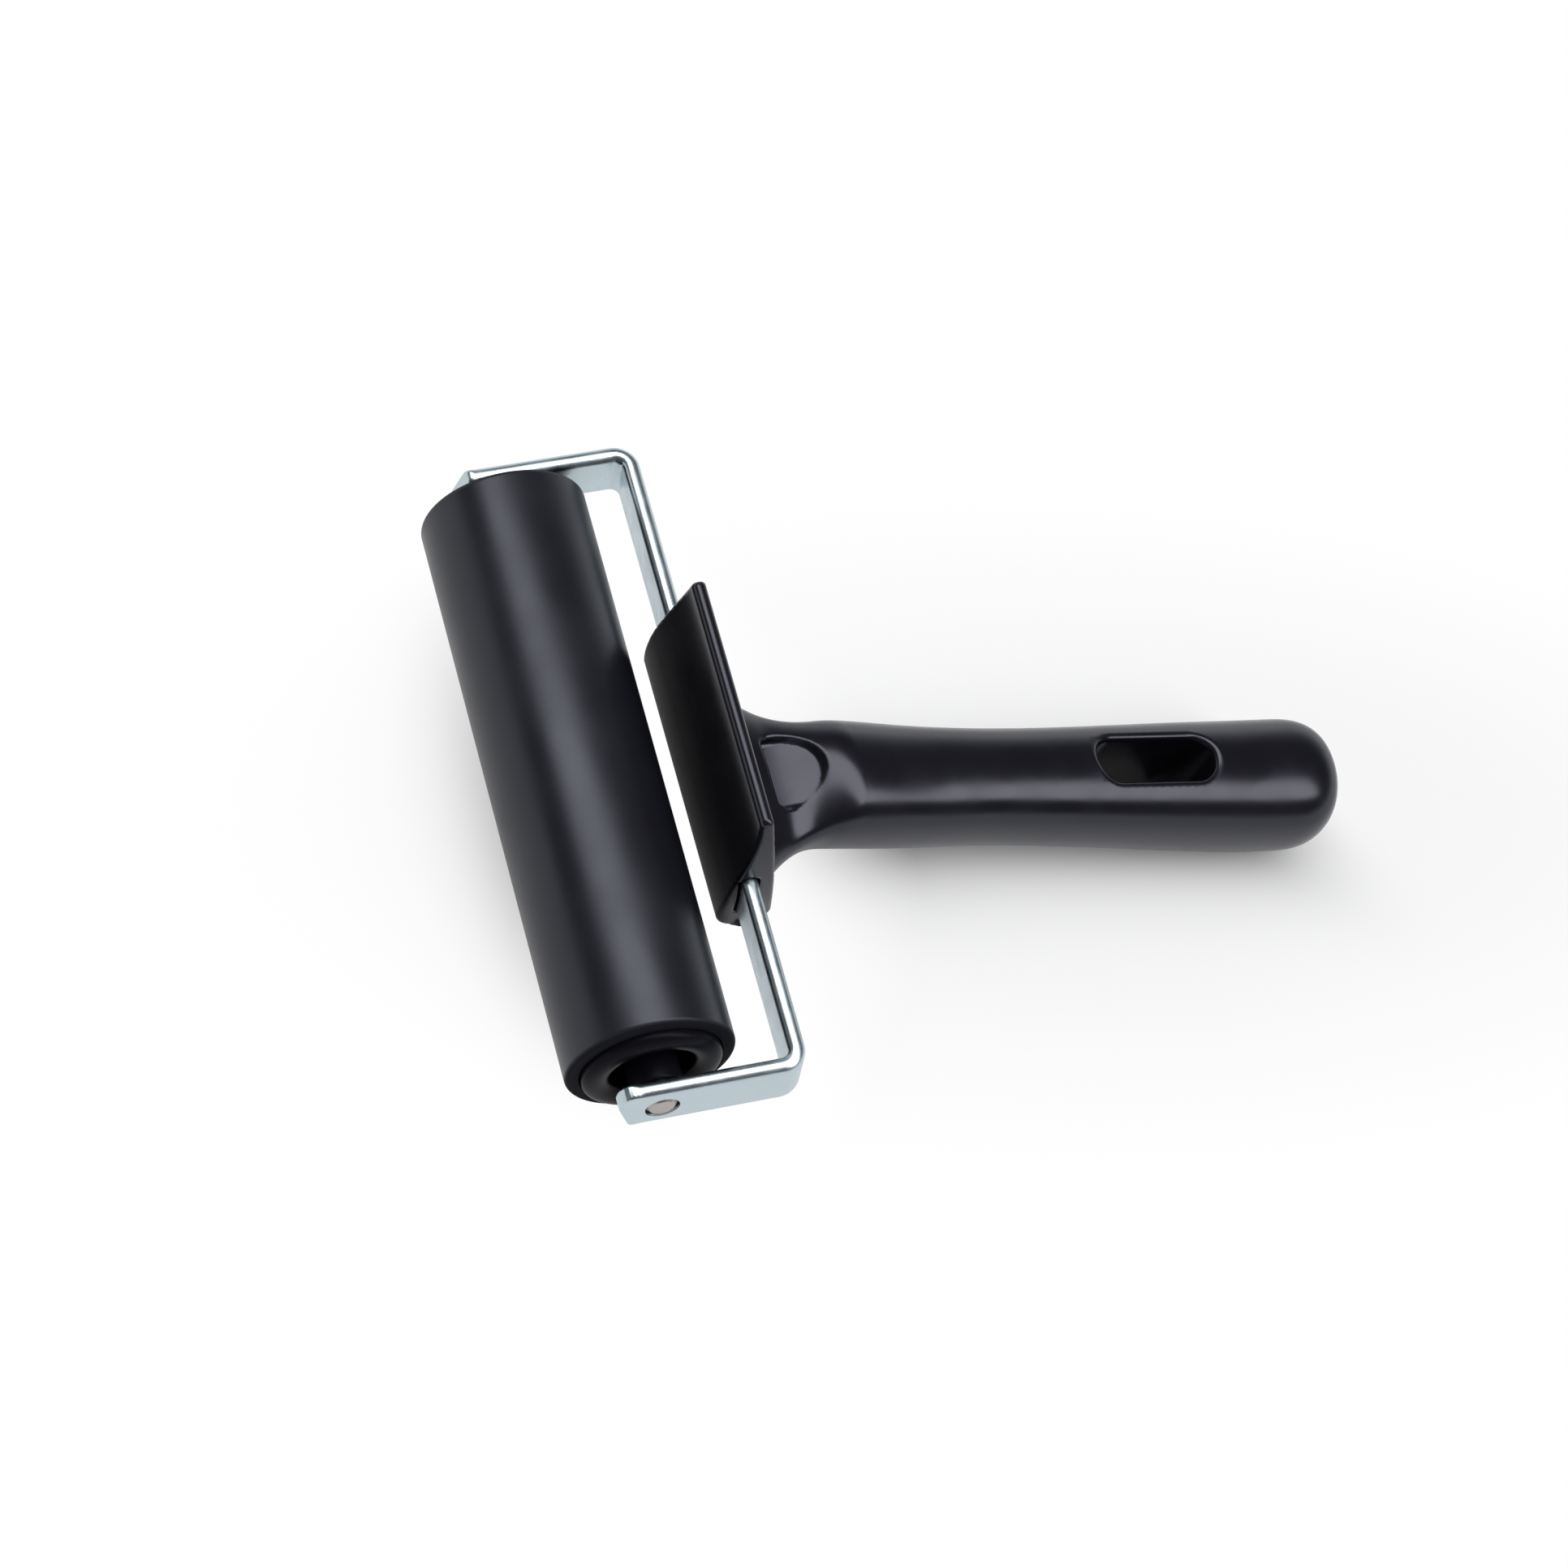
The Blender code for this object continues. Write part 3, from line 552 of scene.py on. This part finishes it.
def grip_middle(along):
    """Height of the widest line, which drops along the neck towards the head."""
    return -SAG * smooth_step((neck_end - along) / NECK_LENGTH) - bow(along)


# %% Grip as a distance
TINY = 1e-6
LEAST_SLOPE = 0.02


def grip(x, along, height):
    """Squared-off ellipse r^n = |x / w|^n + |h / d|^n, with a dome r^m + t^m = 1, over its slope."""
    middle = grip_middle(along)
    limit = np.where(height > middle, grip_top(along), grip_bottom(along)) - middle
    across = np.abs(x) / half_width(along)
    level = np.abs((height - middle) / limit)
    dome = np.clip((along - GRIP_END + DOME) / DOME, 0, None)
    radius = (across**SQUARENESS + level**SQUARENESS) ** (1 / SQUARENESS)
    form = (radius**DOME_SQUARENESS + dome**DOME_SQUARENESS) ** (1 / DOME_SQUARENESS)
    share = (radius / np.maximum(form, TINY)) ** (DOME_SQUARENESS - 1)
    slope_x = (across / np.maximum(radius, TINY)) ** (SQUARENESS - 1) / half_width(along)
    slope_h = (level / np.maximum(radius, TINY)) ** (SQUARENESS - 1) / np.abs(limit)
    slope_t = (dome / np.maximum(form, TINY)) ** (DOME_SQUARENESS - 1) / DOME
    slope = np.sqrt(share**2 * (slope_x**2 + slope_h**2) + slope_t**2)
    return np.maximum((form - 1) / np.maximum(slope, LEAST_SLOPE), neck_start - along)


# %% [markdown]
# Three things are cut from the moulding: the tunnel that holds the strap, the pocket for the
# thumb, and the slot that hangs the tool on a peg. The rims of the pocket and of the slot are
# rounded, because they come out of a mould and are held in the hand.

# %% Cuts in the handle
CHANNEL_GAP = 0.3
TUNNEL_CORNER = 1.25
TUNNEL_RIM = 0.3
THUMB_HALF = 6.4
THUMB_START, THUMB_LENGTH = NECK_ROOT + 7.8, 8.0
THUMB_CORNER = 1.6
THUMB_DEPTH = 0.6
THUMB_RIM = 0.95
THUMB_STEEP = math.tan(math.radians(38.0))
THUMB_HOLLOW = 0.045
THUMB_LEAN = 0.08
THUMB_FLOOR_ROUNDING = 0.5
SLOT_LENGTH, SLOT_WIDTH, SLOT_AT = 22.1, 7.9, 103.35
SLOT_RIM = 1.4


def strap_tunnel(y, z):
    """Distance to a rounded rectangle a little larger than the strap."""
    across = np.abs(y - bar_line) - half_strap - CHANNEL_GAP + TUNNEL_CORNER
    high = np.abs(z) - STRAP_WIDTH / 2 - CHANNEL_GAP + TUNNEL_CORNER
    outside = np.hypot(np.maximum(across, 0), np.maximum(high, 0))
    return outside + np.minimum(np.maximum(across, high), 0) - TUNNEL_CORNER


def thumb_pocket(x, along, height):
    """Distance to a D-shaped pocket, round towards the grip, over a floor that is a hollow parabola."""
    end = THUMB_START + THUMB_LENGTH
    turn = end - THUMB_HALF
    disc = np.hypot(x, along - turn) - THUMB_HALF
    across = np.abs(x) - THUMB_HALF + THUMB_CORNER
    behind = THUMB_START - along + THUMB_CORNER
    block = np.hypot(np.maximum(across, 0), np.maximum(behind, 0))
    block = block + np.minimum(np.maximum(across, behind), 0) - THUMB_CORNER
    back = np.clip(end - along, 0, THUMB_LENGTH)
    floor = grip_top(np.array(end)) - THUMB_DEPTH + THUMB_LEAN * x
    floor = floor - THUMB_STEEP * back + THUMB_HOLLOW * back**2 / 2
    floor = (floor - height) / np.hypot(1, THUMB_STEEP - THUMB_HOLLOW * back)
    return round_max(np.where(along > turn, disc, block), floor, THUMB_FLOOR_ROUNDING)


def hanging_slot(x, along):
    """Distance to a slot with round ends."""
    reach = np.maximum(np.abs(along - SLOT_AT) - (SLOT_LENGTH - SLOT_WIDTH) / 2, 0)
    return np.hypot(x, reach) - SLOT_WIDTH / 2


# %% The whole handle as one distance
SHRINK = 0.03
GRIP_FILLET = 1.5


def handle_distance(points):
    """Head and grip joined with a fillet, then the tunnel, the pocket and the slot taken out."""
    x, y, z = points.T
    along = y * math.cos(GRIP_ANGLE) - z * math.sin(GRIP_ANGLE)
    height = y * math.sin(GRIP_ANGLE) + z * math.cos(GRIP_ANGLE)
    body = round_min(head(x, y, z), grip(x, along, height), GRIP_FILLET)
    body = round_max(body, -strap_tunnel(y, z), TUNNEL_RIM)
    body = round_max(body, -thumb_pocket(x, along, height), THUMB_RIM)
    return round_max(body, -hanging_slot(x, along), SLOT_RIM) + SHRINK


# %% [markdown]
# A distance becomes a mesh by "surface nets": space is cut into small cells, every cell that the
# surface passes through gets one point, and the points of neighbouring cells are joined. Where a
# wall is so thin that two sheets would share an edge, the weakest corner there changes sides
# first. The points then slide along the slope of the distance until they lie on the surface, and
# the same slope gives each point its exact normal, so the highlights run smooth.

# %% Surface nets
SLABS = 16


def sample(distance, axes):
    """The distance at every corner of the cells, worked out a slab at a time."""
    slabs = []
    for x in np.array_split(axes[0], SLABS):
        corners = np.stack(np.meshgrid(x, axes[1], axes[2], indexing="ij"), axis=-1)
        slabs.append(distance(corners.reshape(-1, 3)).reshape(corners.shape[:3]))
    return np.concatenate(slabs)


def part_sheets(value, nudge=1e-4, rounds=8):
    """Change the sign of the weakest corner of every square of corners whose signs alternate."""
    ring = np.array(((0, 0), (1, 0), (1, 1), (0, 1)))
    for _ in range(rounds):
        turned = 0
        for u, v in ((0, 1), (0, 2), (1, 2)):
            signs = []
            for du, dv in ring:
                cut = [slice(None)] * 3
                cut[u] = slice(du, value.shape[u] - 1 + du)
                cut[v] = slice(dv, value.shape[v] - 1 + dv)
                signs.append(value[tuple(cut)] < 0)
            alternate = (signs[0] == signs[2]) & (signs[1] == signs[3]) & (signs[0] != signs[1])
            for square in np.argwhere(alternate):
                corners = np.tile(square, (4, 1))
                corners[:, u] += ring[:, 0]
                corners[:, v] += ring[:, 1]
                weakest = min((tuple(c) for c in corners), key=lambda c: abs(value[c]))
                value[weakest] = nudge if value[weakest] < 0 else -nudge
                turned += 1
        if not turned:
            break


def surface_net(distance, low, high, step):
    """Points and faces of the zero surface: one point for each cell it crosses."""
    axes = [np.arange(a, b + step, step) for a, b in zip(low, high)]
    value = sample(distance, axes)
    part_sheets(value)
    inside = value < 0
    cells = tuple(n - 1 for n in inside.shape)
    total, crossings = np.zeros((*cells, 3), np.float32), np.zeros(cells, np.float32)
    for axis in range(3):
        others = [a for a in range(3) if a != axis]
        for first in (0, 1):
            for second in (0, 1):
                start = [slice(0, n) for n in cells]
                start[others[0]] = slice(first, cells[others[0]] + first)
                start[others[1]] = slice(second, cells[others[1]] + second)
                end = list(start)
                end[axis] = slice(1, cells[axis] + 1)
                a, b = value[tuple(start)], value[tuple(end)]
                crossed = (a < 0) != (b < 0)
                share = np.where(crossed, a / np.where(crossed, a - b, 1), 0)
                total[..., axis] += share
                total[..., others[0]] += first * crossed
                total[..., others[1]] += second * crossed
                crossings += crossed
    used = crossings > 0
    index = np.full(cells, -1)
    index[used] = np.arange(used.sum())
    points = np.argwhere(used) + total[used] / crossings[used][:, None]
    points = points * step + np.array([a[0] for a in axes])
    faces = []
    for axis in range(3):
        near = [slice(1, n) for n in cells]
        far = list(near)
        near[axis], far[axis] = slice(0, cells[axis]), slice(1, cells[axis] + 1)
        a, b = inside[tuple(near)], inside[tuple(far)]
        at = np.argwhere(a != b) + np.where(np.arange(3) == axis, 0, 1)
        e1, e2 = np.eye(3, dtype=int)[(axis + 1) % 3], np.eye(3, dtype=int)[(axis + 2) % 3]
        shifts = (0 * e1, e1, e1 + e2, e2)
        quad = np.stack([index[tuple((at - shift).T)] for shift in shifts], axis=1)
        outward = a[a != b]
        faces.append(np.where(outward[:, None], quad, quad[:, ::-1]))
    return points, np.concatenate(faces)


def slope_of(distance, points, reach=0.02):
    """How the distance changes along x, y and z, from a small step each way."""
    changes = [distance(points + step) - distance(points - step) for step in reach * np.eye(3)]
    return np.stack(changes, axis=1) / (2 * reach)


def settle(distance, points, rounds=4, longest=0.25, least=0.05):
    """Slide points along the slope until the distance is zero."""
    for _ in range(rounds):
        slope = slope_of(distance, points)
        move = distance(points) / np.maximum((slope**2).sum(axis=1), least)
        points = points - slope * np.clip(move, -longest, longest)[:, None]
    return points


# %% Mesh of the handle
CELL = 0.46
MARGIN, MARGIN_BELOW, MARGIN_BEYOND = 1.0, 12.0, 4.0
grip_end_y, grip_end_z = GRIP_END * math.cos(GRIP_ANGLE), -GRIP_END * math.sin(GRIP_ANGLE)
handle_low = (-HALF_MIDDLE - MARGIN, TOE_FRONT - MARGIN, grip_end_z - MARGIN_BELOW)
handle_high = (HALF_MIDDLE + MARGIN, grip_end_y + MARGIN_BEYOND, HEAD_TOP + MARGIN)
net_points, net_faces = surface_net(handle_distance, handle_low, handle_high, CELL)
net_points = settle(handle_distance, net_points)
net_normals = slope_of(handle_distance, net_points)
net_normals /= np.linalg.norm(net_normals, axis=1, keepdims=True)
handle_mesh = bpy.data.meshes.new("moulded_handle")
handle_mesh.from_pydata(from_tool(net_points), [], net_faces.tolist())
handle_mesh.shade_smooth()
handle_mesh.normals_split_custom_set_from_vertices(turn_about_x(net_normals, TILT))
handle = add_to_scene("moulded_handle", handle_mesh)
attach(handle, "frame")
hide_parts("handle")
print("handle", len(net_points), "points", len(net_faces), "faces")

# %% [markdown]
# ## Finishes
# Each finish is a small node tree that reads Object coordinates, so it stays with its piece when
# the roller turns. Noise changes the roughness and the height a little, as real surfaces do. The
# helpers below each add one node, or a few, and hand back the output.

# %% Helpers for node trees
def feed(tree, socket, value):
    """Link a socket to the output of a node, or set it to a plain value."""
    if isinstance(value, bpy.types.NodeSocket):
        tree.links.new(value, socket)
    else:
        socket.default_value = value


def calculate(tree, operation, *values):
    """One step of arithmetic on numbers."""
    node = tree.nodes.new("ShaderNodeMath")
    node.operation = operation
    for socket, value in zip(node.inputs, values):
        feed(tree, socket, value)
    return node.outputs[0]


def calculate_vector(tree, operation, *values):
    """One step of arithmetic on vectors. Lengths and dot products come out as a number."""
    node = tree.nodes.new("ShaderNodeVectorMath")
    node.operation = operation
    for socket, value in zip(node.inputs, values):
        feed(tree, socket, value)
    return node.outputs["Value" if operation in ("LENGTH", "DOT_PRODUCT") else "Vector"]


def remap(tree, value, old_range=(0.0, 1.0), new_range=(0.0, 1.0), smooth=False):
    """Carry a value from one range to another and hold it there, with level ends if smooth."""
    node = tree.nodes.new("ShaderNodeMapRange")
    if smooth:
        node.interpolation_type = "SMOOTHSTEP"
    limits = ("From Min", "From Max", "To Min", "To Max")
    for name, limit in zip(limits, (*old_range, *new_range)):
        node.inputs[name].default_value = limit
    tree.links.new(value, node.inputs["Value"])
    return node.outputs["Result"]


def object_place(tree):
    """Object coordinates."""
    return tree.nodes.new("ShaderNodeTexCoord").outputs["Object"]


def part_of(tree, vector, axis):
    """One coordinate of a vector."""
    parts = tree.nodes.new("ShaderNodeSeparateXYZ")
    tree.links.new(vector, parts.inputs[0])
    return parts.outputs[axis]


def between(tree, share, first, second):
    """Blend two values, each a number or the output of a node."""
    mix = tree.nodes.new("ShaderNodeMix")
    feed(tree, mix.inputs["Factor"], share)
    feed(tree, mix.inputs["A"], first)
    feed(tree, mix.inputs["B"], second)
    return mix.outputs["Result"]


# %% Helpers for finishes
NOISE_RANGE = (0.3, 0.7)


def new_finish(name, colour, roughness, metallic=0.0):
    """A Principled material with its plain values set on its own sockets."""
    material = bpy.data.materials.new(name)
    material.use_nodes = True
    shader = material.node_tree.nodes["Principled BSDF"]
    shader.inputs["Base Color"].default_value = (*colour, 1)
    shader.inputs["Roughness"].default_value = roughness
    shader.inputs["Metallic"].default_value = metallic
    return material, material.node_tree, shader


def noise(tree, scale, detail):
    """Noise on Object coordinates, scale in features per metre."""
    pattern = tree.nodes.new("ShaderNodeTexNoise")
    pattern.inputs["Scale"].default_value = scale
    pattern.inputs["Detail"].default_value = detail
    tree.links.new(object_place(tree), pattern.inputs["Vector"])
    return pattern.outputs["Fac"]


def uneven(tree, low, high, scale, detail):
    """Noise, which lies mostly in the middle of its range, spread between two values."""
    return remap(tree, noise(tree, scale, detail), NOISE_RANGE, (low, high))


def raise_surface(tree, shader, depth_mm, scale, detail, normal=None):
    """Noise as a bump of a given depth, on top of an earlier one if there is one."""
    bump = tree.nodes.new("ShaderNodeBump")
    bump.inputs["Strength"].default_value = 1.0
    bump.inputs["Distance"].default_value = depth_mm * MM
    tree.links.new(noise(tree, scale, detail), bump.inputs["Height"])
    if normal is not None:
        tree.links.new(normal, bump.inputs["Normal"])
    tree.links.new(bump.outputs["Normal"], shader.inputs["Normal"])
    return bump.outputs["Normal"]


# %% Where a finish changes
SLOT_SHADE_TOP, SLOT_SHADE_BOTTOM, SLOT_MARGIN = 8.8, 7.6, 0.3


def near_ends(tree, start, end):
    """Rise from 0 to 1 between two distances from the middle of the sleeve, in millimetres along X."""
    x = part_of(tree, object_place(tree), "X")
    distance = calculate(tree, "ABSOLUTE", calculate(tree, "SUBTRACT", x, SLEEVE_SHIFT * MM))
    return remap(tree, distance, (start * MM, end * MM))


def along_tool(tree, start, end):
    """Rise from 0 to 1 between two places along the tool, in millimetres from the axle."""
    direction = (0.0, math.cos(TILT), math.sin(TILT))
    axle_at = float(AXLE_CENTRE @ direction)
    reach = calculate_vector(tree, "DOT_PRODUCT", object_place(tree), direction)
    return remap(tree, reach, (axle_at + start * MM, axle_at + end * MM))


def in_slot(tree):
    """1 on the walls of the hanging slot, fading to 0 at its upper rim."""
    middle = np.array([(0, SLOT_AT * math.cos(GRIP_ANGLE), -SLOT_AT * math.sin(GRIP_ANGLE))])
    place = calculate_vector(tree, "SUBTRACT", object_place(tree), from_tool(middle)[0])
    share = remap(tree, part_of(tree, place, "Z"), (SLOT_SHADE_TOP * MM, SLOT_SHADE_BOTTOM * MM))
    for axis, half in (("X", SLOT_WIDTH / 2), ("Y", SLOT_LENGTH / 2)):
        reach = (half + SLOT_MARGIN) * MM
        near = calculate(tree, "COMPARE", part_of(tree, place, axis), 0.0, reach)
        share = calculate(tree, "MULTIPLY", near, share)
    return share


# %% [markdown]
# The plastic is glossy on the grip. The front of the head and the walls of the slot are dull in
# the photograph, and so are the plugs, which lie further forward still.

# %% Moulded black plastic
PLASTIC_BLACK, PLASTIC_TINT = (0.0060, 0.0060, 0.0090), (0.84, 0.86, 1.0, 1.0)
MOULD_GLOSS, DULL_GLOSS, DULL_ROUGHNESS = 0.62, 0.07, 0.32
DULL_UP_TO, GLOSSY_FROM = TOE_FRONT + 1.0, blade_front - 0.5
plastic, tree, shader = new_finish("black_plastic_finish", PLASTIC_BLACK, roughness=0.23)
shader.inputs["Specular Tint"].default_value = PLASTIC_TINT
glossy_share = along_tool(tree, DULL_UP_TO, GLOSSY_FROM)
gloss = between(tree, glossy_share, DULL_GLOSS, MOULD_GLOSS)
gloss = between(tree, in_slot(tree), gloss, DULL_GLOSS)
polish = uneven(tree, low=0.19, high=0.26, scale=160, detail=3)
feed(tree, shader.inputs["Specular IOR Level"], gloss)
feed(tree, shader.inputs["Roughness"], between(tree, glossy_share, DULL_ROUGHNESS, polish))
ripple = raise_surface(tree, shader, depth_mm=0.08, scale=60, detail=1)
raise_surface(tree, shader, depth_mm=0.003, scale=1500, detail=2, normal=ripple)

# %% Ground rubber
RUBBER_BLACK, RUBBER_TINT = (0.0068, 0.0070, 0.0106), (0.84, 0.87, 1.0, 1.0)
GROUND_GLOSS, CUT_GLOSS, CUT_ROUGHNESS = 0.62, 0.15, 0.8
CUT_START, CUT_END = half_roller - 0.8, half_roller - 0.2
rubber, tree, shader = new_finish("black_rubber_finish", RUBBER_BLACK, roughness=0.29)
shader.inputs["Specular Tint"].default_value = RUBBER_TINT
cut_share = near_ends(tree, CUT_START, CUT_END)
ground = uneven(tree, low=0.30, high=0.40, scale=60, detail=4)
feed(tree, shader.inputs["Specular IOR Level"], between(tree, cut_share, GROUND_GLOSS, CUT_GLOSS))
feed(tree, shader.inputs["Roughness"], between(tree, cut_share, ground, CUT_ROUGHNESS))
raise_surface(tree, shader, depth_mm=0.005, scale=1400, detail=3)

# %% Zinc plate
ZINC_GREY = (0.63, 0.74, 0.79)
zinc, tree, shader = new_finish("zinc_plate_finish", ZINC_GREY, roughness=0.28, metallic=1.0)
feed(tree, shader.inputs["Roughness"], uneven(tree, low=0.24, high=0.36, scale=300, detail=4))
raise_surface(tree, shader, depth_mm=0.004, scale=700, detail=3)

# %% Turned steel
STEEL_GREY = (0.50, 0.47, 0.44)
steel, tree, shader = new_finish("bare_steel_finish", STEEL_GREY, roughness=0.34, metallic=1.0)
feed(tree, shader.inputs["Roughness"], uneven(tree, low=0.26, high=0.42, scale=500, detail=4))
raise_surface(tree, shader, depth_mm=0.006, scale=1200, detail=3)

# %% Grey core
CORE_GREY = (0.18, 0.18, 0.18)
core, tree, shader = new_finish("grey_plastic_finish", CORE_GREY, roughness=0.5)
feed(tree, shader.inputs["Roughness"], uneven(tree, low=0.42, high=0.58, scale=200, detail=3))
raise_surface(tree, shader, depth_mm=0.01, scale=900, detail=2)


# %% Put the finishes on
def put_on(piece, material):
    """Give a piece one finish."""
    piece.data.materials.clear()
    piece.data.materials.append(material)


put_on(handle, plastic)
put_on(rubber_sleeve, rubber)
for plug in plugs:
    put_on(plug, plastic)
put_on(strap, zinc)
put_on(axle, steel)
put_on(frame["nodes"]["core_tube"], core)

# %% [markdown]
# ## Floor, light and camera
# The photograph was lit by one long soft box above the table, as wide as the picture and narrow
# from front to back: black plastic shows it as the pale band along the grip and the roller. The
# photograph is a cut-out on white, so only the floor under the grip is left to the light, and
# shows a shadow. Further out, in an ellipse, it fades to a plain white glow. For the camera the
# glow also fills the gap between the roller and the head, and reflections see it dimmed.

# %% Floor
FLOOR_SIZE = 24
FLOOR_WHITE = (0.92, 0.92, 0.925, 1)
FLOOR_IN_REFLECTIONS = 0.78
ELLIPSE_SCALE, ELLIPSE_OFFSET = (1.0, 0.4, 1.0), (0.0, -0.016, 0.0)
GLOW_FROM, GLOW_FULL, GLOW_LEAST = 0.02, 0.07, 0.08
GAP_MIDDLE, GAP_HALF, GAP_FADE = -0.041, 0.010, 0.040
bpy.ops.mesh.primitive_plane_add(size=FLOOR_SIZE)
floor = bpy.context.object
floor.name = "floor"
floor_material = bpy.data.materials.new("pale_floor")
floor_material.use_nodes = True
tree = floor_material.node_tree
tree.nodes.clear()
output = tree.nodes.new("ShaderNodeOutputMaterial")
matt = tree.nodes.new("ShaderNodeBsdfDiffuse")
matt.inputs["Color"].default_value = FLOOR_WHITE
glow = tree.nodes.new("ShaderNodeEmission")
glow.inputs["Color"].default_value = (1, 1, 1, 1)
mix = tree.nodes.new("ShaderNodeMixShader")
ray = tree.nodes.new("ShaderNodeLightPath").outputs
place = object_place(tree)
ellipse = tree.nodes.new("ShaderNodeMapping")
ellipse.inputs["Scale"].default_value = ELLIPSE_SCALE
ellipse.inputs["Location"].default_value = ELLIPSE_OFFSET
tree.links.new(place, ellipse.inputs["Vector"])
outward = calculate_vector(tree, "LENGTH", ellipse.outputs["Vector"])
far = remap(tree, outward, (GLOW_FROM, GLOW_FULL), (GLOW_LEAST, 1.0), smooth=True)
off_gap = calculate(tree, "SUBTRACT", part_of(tree, place, "Y"), GAP_MIDDLE)
off_gap = calculate(tree, "ABSOLUTE", off_gap)
gap = remap(tree, off_gap, (GAP_HALF + GAP_FADE, GAP_HALF), smooth=True)
to_camera = calculate(tree, "MAXIMUM", gap, far)
to_camera = calculate(tree, "MULTIPLY", ray["Is Camera Ray"], to_camera)
to_pieces = calculate(tree, "MAXIMUM", ray["Is Glossy Ray"], ray["Is Transmission Ray"])
to_pieces = calculate(tree, "MULTIPLY", to_pieces, far)
strength = remap(tree, ray["Is Glossy Ray"], new_range=(1.0, FLOOR_IN_REFLECTIONS))
tree.links.new(strength, glow.inputs["Strength"])
tree.links.new(calculate(tree, "MAXIMUM", to_camera, to_pieces), mix.inputs["Fac"])
tree.links.new(matt.outputs[0], mix.inputs[1])
tree.links.new(glow.outputs[0], mix.inputs[2])
tree.links.new(mix.outputs[0], output.inputs["Surface"])
floor.data.materials.append(floor_material)

# %% [markdown]
# The room round the table is plain: pale at the horizon, where the floor's sweep rises, and dim
# above. Behind the tool the pale part reaches higher, as a backdrop does, so black edges on that
# side fade from light to dark. A world shader gives this from the direction alone.

# %% World
CAMERA_AZIMUTH = math.radians(43.3455)
ROOM_TINT = (0.95, 0.97, 1.0, 1)
ROOM_DIM = 0.07
BACKDROP_FROM, BACKDROP_FULL = -0.2, 0.8
HORIZON_HEIGHT, BACKDROP_HEIGHT = 0.14, 0.62
world = bpy.data.worlds.new("studio")
bpy.context.scene.world = world
world.use_nodes = True
tree = world.node_tree
sky = tree.nodes["Background"]
sky.inputs["Color"].default_value = ROOM_TINT
direction = tree.nodes.new("ShaderNodeTexCoord").outputs["Generated"]
away = (-math.sin(CAMERA_AZIMUTH), math.cos(CAMERA_AZIMUTH), 0.0)
behind = calculate_vector(tree, "DOT_PRODUCT", direction, away)
reach = remap(tree, behind, (BACKDROP_FROM, BACKDROP_FULL), (HORIZON_HEIGHT, BACKDROP_HEIGHT))
height = calculate(tree, "DIVIDE", part_of(tree, direction, "Z"), reach)
fade = remap(tree, height, new_range=(1.0, ROOM_DIM), smooth=True)
tree.links.new(fade, sky.inputs["Strength"])

# %% Soft box above the table
BOX_HEIGHT = 1.0
BOX_WIDTH, BOX_DEPTH = 3.2, 0.58
BOX_FORWARD = 0.04
BOX_RADIANCE = 3.5
box = bpy.data.lights.new("soft_box", "AREA")
box.shape = "RECTANGLE"
box.size, box.size_y = BOX_WIDTH, BOX_DEPTH
box.energy = BOX_RADIANCE * math.pi * BOX_WIDTH * BOX_DEPTH
soft_box = add_to_scene("soft_box", box)
soft_box.location = (
    BOX_FORWARD * math.sin(CAMERA_AZIMUTH),
    -BOX_FORWARD * math.cos(CAMERA_AZIMUTH),
    BOX_HEIGHT,
)
soft_box.rotation_euler = (0.0, 0.0, CAMERA_AZIMUTH)

# %% Camera
LENS, SENSOR = 126.06, 36.0
AIM = Vector((0.00037, -0.0266, 0.01363))
DISTANCE = 0.87479
ELEVATION = math.radians(49.3822)
ROLL = math.radians(38.2022)
camera = add_to_scene("camera", bpy.data.cameras.new("camera"))
camera.data.lens, camera.data.sensor_width = LENS, SENSOR
back = Vector((
    math.sin(CAMERA_AZIMUTH) * math.cos(ELEVATION),
    -math.cos(CAMERA_AZIMUTH) * math.cos(ELEVATION),
    math.sin(ELEVATION),
))
camera.location = AIM + back * DISTANCE
camera.rotation_mode = "QUATERNION"
camera.rotation_quaternion = (-back).to_track_quat("-Z", "Y") @ Quaternion((0, 0, 1), ROLL)
bpy.context.scene.camera = camera
bpy.context.scene.view_settings.view_transform = "Standard"
